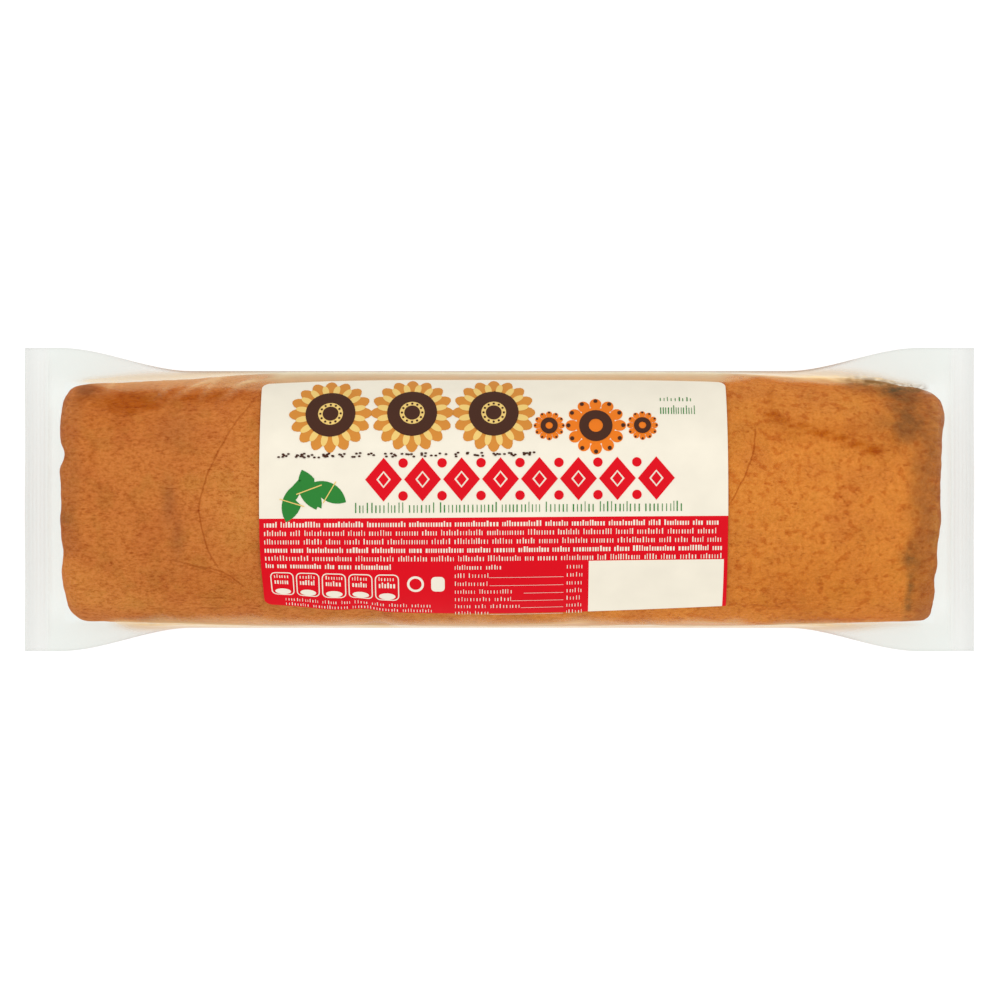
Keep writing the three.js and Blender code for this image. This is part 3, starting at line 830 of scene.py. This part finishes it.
# Taut gathers: x, girth, direction from +X in degrees, half length, half width, height as a share
GATHERS = (
    (-114 * MM, 39.5 * MM, 62, 5 * MM, 0.9 * MM, 0.9),
    (-99.5 * MM, 35 * MM, 60, 3 * MM, 0.8 * MM, 0.8),
    (-90 * MM, 38 * MM, 41, 8 * MM, 1.1 * MM, 1.0),
    (-85.6 * MM, 38 * MM, 64, 6 * MM, 0.9 * MM, 0.8),
    (-77 * MM, 37.5 * MM, 50, 7 * MM, 1.0 * MM, 0.9),
    (-106 * MM, 43 * MM, 12, 16 * MM, 1.2 * MM, 0.8),
    (-72 * MM, 41 * MM, 20, 9 * MM, 1.0 * MM, 0.6),
    (-96 * MM, 47 * MM, 4, 20 * MM, 1.3 * MM, 0.9),
    (84 * MM, 44 * MM, 172, 13 * MM, 1.1 * MM, 0.8),
    (97 * MM, 42 * MM, 150, 8 * MM, 1.0 * MM, 0.7),
    (112 * MM, 41 * MM, 155, 9 * MM, 0.9 * MM, 0.7),
    (90 * MM, -46 * MM, 8, 16 * MM, 1.2 * MM, 0.8),
    (-92 * MM, -46 * MM, 172, 18 * MM, 1.2 * MM, 0.8),
    (-108 * MM, -43 * MM, 160, 8 * MM, 0.9 * MM, 0.5),
    (16 * MM, -45 * MM, 4, 12 * MM, 0.9 * MM, 0.7),
    (64 * MM, -45 * MM, 176, 9 * MM, 0.9 * MM, 0.6),
)


# Painted glints, as small milky spots on the film: x, girth, reach and strength
PAINTED_GLINTS = (
    (127 * MM, 35.3 * MM, 1.3 * MM, 0.9),
    (125 * MM, 37 * MM, 1.3 * MM, 0.5),
    (24 * MM, -43 * MM, 4 * MM, 0.4),
    (70 * MM, -43.5 * MM, 3 * MM, 0.4),
)


def wrinkles(x, girth):
    """Heights of the gathers, where the film leaves the roll's sides."""
    heights = np.zeros(np.broadcast(x, girth).shape)
    for at_x, at_girth, degrees, length, width, height in GATHERS:
        turn = math.radians(degrees)
        along = (x - at_x) * math.cos(turn) + (girth - at_girth) * math.sin(turn)
        across = (girth - at_girth) * math.cos(turn) - (x - at_x) * math.sin(turn)
        heights += height * np.exp(-((along / length) ** 2) - (across / width) ** 2)
    return heights


# How wide the milky bands along the roll's flanks look from above, where the film stands off and glare is painted, as
# places along the roll and widths
FAR_BAND = ((-126, -119, -110, -96, -80, -67, 67, 76, 92, 102, 112, 124), (0, 1.8, 3.2, 3.4, 4.2, 5.4, 3.2, 1.6, 1.8, 2.6, 2.4, 0.3))
NEAR_BAND = ((-126, -114, -100, -76, -62, 62, 75, 110, 126), (-2, 0.4, 2.6, 3.2, 2.4, 2.2, 1.2, 0.6, -2))
HALO = 2.6 * MM


def loose_and_glare_share(x, y, outside):
    """How milky the film is where it stands off the roll's flanks, by its distance outside the roll's outline. The band
    is partly painted glare, wider and milkier on the far side, and outside the outline it turns into a halo of painted
    warm light.
    """
    widths = [np.interp(x / MM, *band) * MM for band in (FAR_BAND, NEAR_BAND)]
    wave = 0.35 * MM * np.sin(x / (5.3 * MM)) + 0.25 * MM * np.sin(x / (2.1 * MM) + 2)
    width = np.where(y > 0, *widths)
    soft = np.where(y > 0, 0.5 * MM, 1.3 * MM)
    inside = smoothstep(outside, -width - soft + wave, -width + soft + wave)
    inside = inside * (0.42 + np.where(y > 0, 0.5, 0.8) * np.exp(np.minimum(outside, 0) / (0.9 * MM)))
    inside = inside * (1 + 0.9 * (y > 0) * smoothstep(-np.abs(x), -71 * MM, -64 * MM))
    inside = inside * (1 + 0.9 * (y > 0) * smoothstep(x, 84 * MM, 95 * MM) * smoothstep(-x, -119 * MM, -111 * MM))
    reach = HALO * (0.35 + 0.65 * smoothstep(-np.abs(x), -124 * MM, -104 * MM))
    halo = np.exp(-((np.maximum(outside, 0) / reach) ** 2)) * np.where(y > 0, 1.1, 1.7)
    halo = halo * (1 - 0.65 * smoothstep(x, 95 * MM, 118 * MM)) * np.where(y > 0, 1, smoothstep(x, -118 * MM, -107 * MM))
    return np.where(outside < 0, inside, halo) * smoothstep(-np.abs(x), -GAP_START, -121 * MM)


def smears(x, y, outside):
    """How much filling is smeared on the film along the roll's far flank, by its right end."""
    share = np.exp(-(((outside + 1.4 * MM) / (1.3 * MM)) ** 2)) * (y > 0)
    return share * smoothstep(x, 99 * MM, 107 * MM) * smoothstep(-x, -128 * MM, -124 * MM)


def film_surface(settings):
    """Points of the film as an array of stations by columns."""
    x, stand, rib = (row[:, None] for row in stations(settings.ribs, settings.rib_relief))
    y, z, share, touch_y, touch_z, side, girth = (row[None, :] for row in section())
    tip = side * HALF_SEAL
    pulled = np.clip(share, 0, 1)
    taut = np.where(share < 1, flare(x), 0)
    y = y + taut * (tip + (touch_y - tip) * pulled - y)
    z = (z + taut * (touch_z * pulled - z)) * stand
    least = np.where(np.abs(share) < 1e-9, 0, settings.seal / 2)
    z = np.where(girth_is_upper(girth), 1, -1) * np.maximum(np.abs(z), least)
    places = np.stack([np.broadcast_to(x, y.shape), y, SEAM_HEIGHT + z + rib + sag(x, y, stand)], axis=-1)

    along, around = np.gradient(places, axis=0), np.gradient(places, axis=1)
    normals = np.cross(around, along)
    normals /= np.maximum(np.linalg.norm(normals, axis=-1, keepdims=True), 1e-12)
    free = smoothstep(stand, 0.0, 0.35)
    under_label = smoothstep(-np.abs(x - LABEL_X), -HALF_LABEL - 6 * MM, -HALF_LABEL)
    under_label = under_label * smoothstep(-np.abs(girth), -46 * MM, -42 * MM)
    lift = settings.wrinkle * wrinkles(x, girth) * free * (1 - under_label)
    pressed = dimples(x, girth) * smoothstep(-np.abs(x), -FLARE_START - 20 * MM, -FLARE_START)
    pressed = pressed * smoothstep(-np.abs(girth), -53 * MM, -48 * MM)
    places += (lift - pressed)[..., None] * normals
    places[..., 2] = np.maximum(places[..., 2], 0.25 * MM)
    y = places[..., 1]
    beyond = np.abs(y + END_SHIFT * shift_share(x)) - (HALF_BODY - 0.45 * MM) * (1 - 0.06 * taper_share(x)) - swelling(x, y)
    past = np.abs(x) + np.minimum(end_offsets(x, y), 0) - GAP_START
    over = smoothstep(-beyond, -0.9 * MM, 0.5 * MM) * smoothstep(-past, -1 * MM, 0)
    gap = smoothstep(-np.abs(y), -40 * MM, -31 * MM) * smoothstep(past, 0, 0.8 * MM)
    gap = gap * smoothstep(-np.abs(x), -SEAL_ROOT - 1 * MM, -SEAL_ROOT + 1 * MM)
    upper = smoothstep(places[..., 2], SEAM_HEIGHT - 4 * MM, SEAM_HEIGHT - 1 * MM)
    # painted glare: the milky share on the flanks, and milky lines along the gathers over the roll
    loose = loose_and_glare_share(x, y, beyond) * (0.3 + 0.7 * upper) + 0.65 * wrinkles(x, girth) * over
    warmth = smoothstep(-beyond, -4 * MM, -1 * MM) * smoothstep(-np.abs(x), -GAP_START, -122 * MM)
    widest = np.abs(y).max(axis=1, keepdims=True)
    # edge is 1 along the film's outermost line; fold is a line of painted shade along it, mostly on the far side
    edge = np.exp(-(((widest - np.abs(y)) / (0.5 * MM)) ** 2)) * (1 - over)
    fold = edge * np.where(y > 0, 1, 0.33) * smoothstep(-np.abs(x), -112 * MM, -88 * MM)
    # painted glints: small milky spots
    for at_x, at_girth, reach, strength in PAINTED_GLINTS:
        loose += strength * np.exp(-(((x - at_x) / reach) ** 2) - ((girth - at_girth) / (0.6 * reach)) ** 2)
    taut = np.maximum(over, 1 - smoothstep(flare(x), 0.03, 0.3))
    marks = {"taut": taut, "loose": loose, "over": over, "gap": gap, "warmth": warmth, "edge": edge, "fold": fold, "smear": smears(x, y, beyond) * upper}
    return places, marks


def girth_is_upper(girth):
    """True over the dome, tips included, and False below it."""
    quarter = dome_quarter()
    return np.abs(girth) <= quarter + 1e-9


def dome_quarter():
    """Girth from the crown to the roll's widest level, as the film's columns measure it."""
    angles = np.pi * np.arange(COLUMNS["dome"] // 2 + 1) / COLUMNS["dome"]
    return float(np.hypot(np.diff(HALF_BODY * np.cos(angles)), np.diff(DOME * np.sin(angles))).sum())


class SEEDROLL_OT_film(bpy.types.Operator):
    """Folds a flat sheet round the roll into a tube, joins it below and shuts its ends in ribbed seals"""

    bl_idname = "seedroll.film"
    bl_label = "Film"

    def execute(self, context):
        settings = context.scene.seedroll_film
        places, marks = film_surface(settings)
        rows, columns = places.shape[:2]
        deselect_all()
        bpy.ops.mesh.primitive_grid_add(x_subdivisions=columns - 1, y_subdivisions=rows - 1, size=0.3)
        film = bpy.context.object
        move_points(film, places.reshape(-1, 3))
        for name, values in marks.items():
            mark(film, name, values.ravel())
        edit(film)
        bpy.ops.mesh.select_all(action="SELECT")
        bpy.ops.mesh.remove_doubles(threshold=0.002 * MM)
        select("edges", lambda e: e.is_boundary)
        bpy.ops.mesh.edge_face_add()
        bpy.ops.mesh.select_all(action="SELECT")
        bpy.ops.mesh.normals_make_consistent(inside=False)
        leave_edit()
        finish_piece(film, "film", [clear_film(settings)], ["wrapped_roll"])
        return {"FINISHED"}


class SEEDROLL_OT_seam(bpy.types.Operator):
    """Lays the film's folded back seam along the underside"""

    bl_idname = "seedroll.seam"
    bl_label = "Back seam"

    def execute(self, context):
        settings = context.scene.seedroll_film
        deselect_all()
        bpy.ops.mesh.primitive_grid_add(x_subdivisions=240, y_subdivisions=8, size=1)
        seam = bpy.context.object
        x, y, _ = points_of(seam).T
        x, y = x * 2 * (SEAL_ROOT - 12 * MM), y * settings.seam_width
        crimp = 0.04 * MM * np.sin(2 * np.pi * x / (2 * MM))
        curl = 0.03 * MM * np.sin(x / (17 * MM))
        move_points(seam, np.stack([x, y + 3 * MM + curl, 0.14 * MM + crimp], axis=-1))
        apply_modifier(seam, "SOLIDIFY", thickness=0.08 * MM, offset=0)
        finish_piece(seam, "back_seam", [bpy.data.materials["Clear polypropylene film"]])
        return {"FINISHED"}


# The label

TILT = 0.0066
UPPER_BOW = 2.5 * MM
LOWER_BOW = 3.3 * MM
LINE_GAP = 2.54 * MM
FIRST_LINE = -7.2 * MM
STROKES = {"light": (0.26 * MM, 0.8 * MM), "fine": (0.18 * MM, 0.62 * MM), "plain": (0.24 * MM, 0.5 * MM), "bold": (0.38 * MM, 0.34 * MM)}  # width and gap
DATE_BOX = (27.9 * MM, 67.5 * MM, -18.3 * MM)  # left, right and top, from the label's middle


def label_girth(u, v):
    """Girth of a place on the flat label: it sits a little askew, and its long edges bow outwards."""
    bowed = np.where(v > 0, UPPER_BOW, LOWER_BOW) * (v / (38 * MM)) ** 3 * (1 - (u / HALF_LABEL) ** 2)
    corner = smoothstep(-u, 30 * MM, 68 * MM) * smoothstep(-v, 15 * MM, 36 * MM)
    return v + TILT * u + bowed + 1.5 * MM * corner


def drape(obj, lift):
    """Lays a flat shape, drawn in the label's own plane, over the dome."""
    u, v, _ = points_of(obj).T
    corner = smoothstep(-u, 50 * MM, 68 * MM) * smoothstep(-v, 10 * MM, 36 * MM)
    move_points(obj, on_dome(LABEL_X + u + 0.9 * MM * corner, label_girth(u, v), lift))


def cut(axis, places):
    """Cuts the open mesh along lines across an axis."""
    direction = (1, 0, 0) if axis == 0 else (0, 1, 0)
    for place in places:
        bpy.ops.mesh.select_all(action="SELECT")
        bpy.ops.mesh.bisect(plane_co=[place * d for d in direction], plane_no=direction)


def cut_for_draping():
    """Cuts the open mesh finely enough to follow the dome."""
    cut(0, np.arange(-68, 69, 4) * MM)
    cut(1, np.arange(-38, 42, 2) * MM)


class SEEDROLL_OT_label(bpy.types.Operator):
    """Cuts the paper label with round corners and its two fields of colour, and lays it over the dome"""

    bl_idname = "seedroll.label"
    bl_label = "Label"

    def execute(self, context):
        settings = context.scene.seedroll_label
        deselect_all()
        bpy.ops.mesh.primitive_plane_add(size=1)
        label = bpy.context.object
        middle = (settings.top + settings.bottom) / 2
        edit(label)
        bpy.ops.mesh.select_all(action="SELECT")
        bpy.ops.transform.resize(value=(2 * HALF_LABEL, settings.top - settings.bottom, 1), center_override=(0, 0, 0))
        bpy.ops.transform.translate(value=(0, middle, 0))
        select("verts", lambda p: p.co.y > 0 or p.co.x < 0)
        bpy.ops.mesh.bevel(offset=settings.corner, segments=8, affect="VERTICES")
        left, right, top = DATE_BOX
        cut(0, [*(np.arange(-68, 69, 2) * MM), left, right])
        cut(1, [*(np.arange(-38, 42, 2) * MM), settings.field, top])
        leave_edit()
        cream, red = coated_paper("Cream label paper", settings.paper), coated_paper("Red ink on paper", settings.red)
        for face in label.data.polygons:
            u, v = face.center.x, face.center.y
            boxed = left < u < right and v < top
            face.material_index = 0 if v > settings.field or boxed else 1
        drape(label, LABEL_GAP)
        apply_modifier(label, "SOLIDIFY", thickness=settings.thickness, offset=1)
        finish_piece(label, "label_paper", [cream, red], ["label"])
        return {"FINISHED"}


# The print


def start_sheet(name):
    """Opens an empty mesh to draw flat shapes in."""
    deselect_all()
    bpy.ops.object.add(type="MESH", location=(0, 0, 0))
    bpy.context.object.name = name
    bpy.ops.object.mode_set(mode="EDIT")


def bar(u, v, length, height):
    """A plain bar, from its middle."""
    bpy.ops.mesh.select_all(action="DESELECT")
    bpy.ops.mesh.primitive_plane_add(size=1, location=(u, v, 0))
    bpy.ops.transform.resize(value=(length, height, 1), center_override=(u, v, 0))


def disc(u, v, length, height, corners=32):
    """An oval, or with few corners a diamond or other regular shape."""
    bpy.ops.mesh.select_all(action="DESELECT")
    bpy.ops.mesh.primitive_circle_add(vertices=corners, radius=0.5, fill_type="NGON", location=(u, v, 0))
    bpy.ops.transform.resize(value=(length, height, 1), center_override=(u, v, 0))


def hollow(band):
    """Turns the selected shape into a ring of a width."""
    bpy.ops.mesh.inset(thickness=band)
    bpy.ops.mesh.delete(type="FACE")


def finish_sheet(colour, name, lift):
    """Lays the open sheet's shapes on the label, as thin ink of one colour."""
    cut_for_draping()
    leave_edit()
    sheet = bpy.context.object
    drape(sheet, LABEL_GAP + lift)
    apply_modifier(sheet, "SOLIDIFY", thickness=0.05 * MM, offset=-1)
    finish_piece(sheet, sheet.name, [coated_paper(name, colour)])


def dummy_words(draw, left, right, v, weight="plain", height=1.2 * MM):
    """A line of small strokes in groups, which reads as a line of print from a step away."""
    stroke, gap = STROKES[weight]
    u = left
    while u < right - 2 * MM:
        for _ in range(draw.randint(4, 16)):
            width = stroke * draw.uniform(0.75, 1.5)
            if u + width > right:
                break
            tall = height * draw.choice((1, 1, 1, 1.35))
            bar(u + width / 2, v + (tall - height) / 2, width, tall)
            u += width + gap * draw.uniform(0.8, 1.3)
        u += 0.8 * MM


def petals(u, v, reach, length, width, count, lean=0.0):
    """Ovals in a ring round a middle."""
    for k in range(count):
        disc(u + reach, v, length, width, 16)
        bpy.ops.transform.rotate(value=2 * math.pi * (k + lean) / count, orient_axis="Z", center_override=(u, v, 0))


def leaf(u, v, size, degrees):
    """A pointed leaf: a square with two opposite corners rounded right off."""
    bar(u, v, size, size)
    select("verts", lambda p: max(abs(p.co.x - u), abs(p.co.y - v)) < 0.51 * size and (p.co.x - u) * (p.co.y - v) > 0)
    bpy.ops.mesh.bevel(offset=0.9 * size, segments=10, affect="VERTICES")
    select("verts", lambda p: max(abs(p.co.x - u), abs(p.co.y - v)) < 0.51 * size)
    bpy.ops.transform.rotate(value=math.radians(degrees), orient_axis="Z", center_override=(u, v, 0))


SUNFLOWERS = tuple((u * MM, 26.2 * MM, 24.5 * MM) for u in (-48, -24, 0))  # middle and size
ROSETTES = ((30 * MM, 22 * MM, 17.5 * MM), (16.3 * MM, 22 * MM, 9 * MM), (43.7 * MM, 22 * MM, 9 * MM))
LEAVES = ((-59 * MM, -0.6 * MM, 8.4 * MM, 62), (-54 * MM, 3.2 * MM, 8.8 * MM, 25), (-48 * MM, 2.4 * MM, 8 * MM, -14))


class SEEDROLL_OT_print(bpy.types.Operator):
    """Prints the label with plain shapes: sunflowers, rosettes, leaves, a row of diamonds and lines of strokes"""

    bl_idname = "seedroll.print"
    bl_label = "Print"

    def execute(self, context):
        settings = context.scene.seedroll_label
        draw = random.Random(11)
        self.flowers(settings, draw)
        self.border(settings)
        self.badges(settings, draw)
        self.small_print(settings, draw)
        return {"FINISHED"}

    def flowers(self, settings, draw):
        """Sunflowers in a row with loose seeds below, and the rosettes beside them."""
        start_sheet("print_gold")
        for u, v, size in SUNFLOWERS:
            petals(u, v, 0.34 * size, 0.32 * size, 0.17 * size, 16)
            disc(u, v, 0.66 * size, 0.66 * size, 40)
        finish_sheet(settings.gold, "Golden ink", 0.28 * MM)
        start_sheet("print_straw")
        for u, v, size in SUNFLOWERS:
            petals(u, v, 0.34 * size, 0.17 * size, 0.08 * size, 16, lean=0.5)
            disc(u, v, 0.4 * size, 0.4 * size, 40)
        for u, v, size, degrees in LEAVES:
            bar(u, v, 0.9 * size, 0.035 * size)
            bpy.ops.transform.rotate(value=math.radians(degrees - 45), orient_axis="Z", center_override=(u, v, 0))
        finish_sheet(settings.straw, "Straw ink", 0.34 * MM)
        start_sheet("print_orange")
        for u, v, size in ROSETTES:
            petals(u, v, 0.4 * size, 0.22 * size, 0.2 * size, 12)
            disc(u, v, 0.66 * size, 0.66 * size, 40)
        finish_sheet(settings.orange, "Orange ink", 0.28 * MM)
        start_sheet("print_brown")
        for u, v, size in SUNFLOWERS:
            disc(u, v, 0.6 * size, 0.6 * size, 40)
            hollow(0.15 * size)
            disc(u, v, 0.19 * size, 0.19 * size, 24)
            petals(u, v, 0.122 * size, 0.028 * size, 0.028 * size, 12)
        for u, v, size in ROSETTES:
            disc(u, v, 0.56 * size, 0.56 * size, 32)
            hollow(0.16 * size)
            petals(u, v, 0.46 * size, 0.07 * size, 0.07 * size, 12)
        for _ in range(90):
            disc(draw.uniform(-63, 12) * MM, draw.uniform(12.6, 13.8) * MM, 0.9 * MM, 0.6 * MM, 7)
        finish_sheet(settings.brown, "Dark brown ink", 0.4 * MM)

    def border(self, settings):
        """A row of bold diamonds with dots between them, as a folk border has."""
        start_sheet("print_red")
        pitch, first, middle = 11.4 * MM, -32.2 * MM, 6 * MM
        for k in range(8):
            disc(first + k * pitch, middle, 10.8 * MM, 12.8 * MM, 4)
            hollow(2.5 * MM)
            disc(first + k * pitch, middle, 3.0 * MM, 3.8 * MM, 4)
        for k in range(7):
            for side in (-1, 1):
                disc(first + (k + 0.5) * pitch, middle + side * 4.8 * MM, 2.8 * MM, 2.8 * MM, 20)
        finish_sheet(settings.red, "Red ink", 0.28 * MM)

    def badges(self, settings, draw):
        """A pair of leaves and a few green lines."""
        start_sheet("print_green")
        for u, v, size, degrees in LEAVES:
            leaf(u, v, size, degrees)
        dummy_words(draw, -40.5 * MM, 57 * MM, -2.6 * MM, "light", 2.2 * MM)
        dummy_words(draw, 49 * MM, 61 * MM, 26.8 * MM, "plain", 2.2 * MM)
        dummy_words(draw, 49 * MM, 61 * MM, 30.8 * MM, "light", 1.1 * MM)
        finish_sheet(settings.green, "Green ink", 0.28 * MM)

    def small_print(self, settings, draw):
        """Lines of small strokes on the red field, with a table and outlined boxes."""
        start_sheet("print_cream")
        for line in range(5):
            dummy_words(draw, -67.2 * MM, 67 * MM, FIRST_LINE - line * LINE_GAP, "bold" if line in (0, 3) else "plain")
        dummy_words(draw, -67.2 * MM, -28 * MM, FIRST_LINE - 5 * LINE_GAP, "bold")
        for k in range(5):
            u = -62.6 * MM + k * 7.8 * MM
            bar(u, -26.3 * MM, 7.1 * MM, 8.6 * MM)
            bpy.ops.mesh.bevel(offset=1.6 * MM, segments=4, affect="VERTICES")
            hollow(0.32 * MM)
            disc(u, -29.2 * MM, 4.9 * MM, 2.2 * MM, 20)
            dummy_words(draw, u - 2.4 * MM, u + 2.6 * MM, -23.6 * MM, height=0.9 * MM)
            dummy_words(draw, u - 2.4 * MM, u + 2.6 * MM, -25.7 * MM, "bold", 1.3 * MM)
        disc(-23 * MM, -25 * MM, 5 * MM, 5 * MM, 28)
        hollow(0.7 * MM)
        bar(-16.4 * MM, -25 * MM, 4.0 * MM, 4.6 * MM)
        bpy.ops.mesh.bevel(offset=1.2 * MM, segments=4, affect="VERTICES")
        for row in range(7):
            v = -20 * MM - row * 2.5 * MM
            split = draw.uniform(-2, 12) * MM
            dummy_words(draw, -11.4 * MM, split, v, "fine" if row else "plain", 1.0 * MM)
            dummy_words(draw, 21.5 * MM, 26 * MM, v, "fine", 1.0 * MM)
            if row:
                bar((split + 20.5 * MM) / 2, v - 0.5 * MM, 20.5 * MM - split, 0.08 * MM)
        for row in range(2):
            dummy_words(draw, -62 * MM, -18 * MM, -32.4 * MM - row * 1.9 * MM, "fine", 0.9 * MM)
        finish_sheet(settings.paper, "Cream ink", 0.28 * MM)


# The stage


class SEEDROLL_OT_stage(bpy.types.Operator):
    """Sets a pale floor, soft lights and a camera that looks straight down"""

    bl_idname = "seedroll.stage"
    bl_label = "Stage"

    def execute(self, context):
        settings = context.scene.seedroll_stage
        self.floor(settings)
        self.lights(context, settings)
        self.camera(context, settings)
        context.scene.view_settings.view_transform = "Standard"
        return {"FINISHED"}

    def floor(self, settings):
        """A pale sweep, lit a little from within so that its shadows stay light."""
        deselect_all()
        bpy.ops.mesh.primitive_plane_add(size=8, location=(0, 0, -0.1 * MM))
        floor = bpy.context.object
        floor.name = "floor"
        material, tree = new_material("Pale floor")
        surface = node(
            tree, "ShaderNodeBsdfPrincipled",
            {"Base Color": (*settings.floor, 1), "Roughness": 0.9, "Specular IOR Level": 0.0,
             "Emission Color": (1, 1, 1, 1), "Emission Strength": settings.glow},
        )
        node(tree, "ShaderNodeOutputMaterial", {"Surface": surface.outputs[0]})
        floor.data.materials.append(material)

    def softbox(self, name, place, target, size, radiance):
        """A square area light that faces a target, of a given radiance."""
        data = bpy.data.lights.new(name, "AREA")
        data.shape = "SQUARE"
        data.size = size
        data.energy = radiance * math.pi * size**2
        light = bpy.data.objects.new(name, data)
        light.location = place
        light.rotation_euler = (Vector(target) - Vector(place)).to_track_quat("-Z", "Y").to_euler()
        bpy.context.scene.collection.objects.link(light)

    def lights(self, context, settings):
        """White light all round, with a large softbox above and one beyond the far side."""
        world = bpy.data.worlds.new("Studio")
        world.use_nodes = True
        background = world.node_tree.nodes["Background"]
        background.inputs["Color"].default_value = (1, 1, 1, 1)
        background.inputs["Strength"].default_value = settings.world
        context.scene.world = world
        self.softbox("overhead", (0, 0, 2.2), (0, 0, 0), 2.6, settings.overhead)
        self.softbox("side", (0.2, 1.5, 0.9), (0, 0, 0.03), 0.9, settings.side)

    def camera(self, context, settings):
        """Straight over the pack, with the far side at the top of the picture."""
        data = bpy.data.cameras.new("camera")
        data.sensor_width = 36
        data.lens = data.sensor_width * settings.height / settings.view
        camera = bpy.data.objects.new("camera", data)
        camera.location = (0.15 * MM, -0.15 * MM, SEAM_HEIGHT + settings.height)
        context.scene.collection.objects.link(camera)
        context.scene.camera = camera


class SEEDROLL_PT_panel(bpy.types.Panel):
    """Lists the pieces of the wrapped roll in the order that they are made"""

    bl_idname = "SEEDROLL_PT_panel"
    bl_label = "Seed roll"
    bl_space_type = "VIEW_3D"
    bl_region_type = "UI"
    bl_category = "Seed roll"

    def draw(self, context):
        scene = context.scene
        for heading, settings, operators in PARTS:
            box = self.layout.box()
            box.label(text=heading)
            group = getattr(scene, settings)
            for name in group.__annotations__:
                box.prop(group, name)
            for operator in operators:
                box.operator(operator.bl_idname)


PARTS = (
    ("Roll", "seedroll_roll", (SEEDROLL_OT_roll,)),
    ("Film", "seedroll_film", (SEEDROLL_OT_film, SEEDROLL_OT_seam)),
    ("Label", "seedroll_label", (SEEDROLL_OT_label, SEEDROLL_OT_print)),
    ("Stage", "seedroll_stage", (SEEDROLL_OT_stage,)),
)
GROUPS = {
    "seedroll_roll": RollSettings,
    "seedroll_film": FilmSettings,
    "seedroll_label": LabelSettings,
    "seedroll_stage": StageSettings,
}


def classes():
    return [*GROUPS.values(), *(o for _, _, operators in PARTS for o in operators), SEEDROLL_PT_panel]


def register():
    for made in classes():
        bpy.utils.register_class(made)
    for name, group in GROUPS.items():
        setattr(bpy.types.Scene, name, PointerProperty(type=group))


def unregister():
    for name in GROUPS:
        delattr(bpy.types.Scene, name)
    for made in reversed(classes()):
        bpy.utils.unregister_class(made)


def main():
    register()
    bpy.ops.seedroll.stage()
    bpy.ops.seedroll.roll()
    bpy.ops.seedroll.film()
    bpy.ops.seedroll.seam()
    bpy.ops.seedroll.label()
    bpy.ops.seedroll.print()


if __name__ == "__main__":
    main()
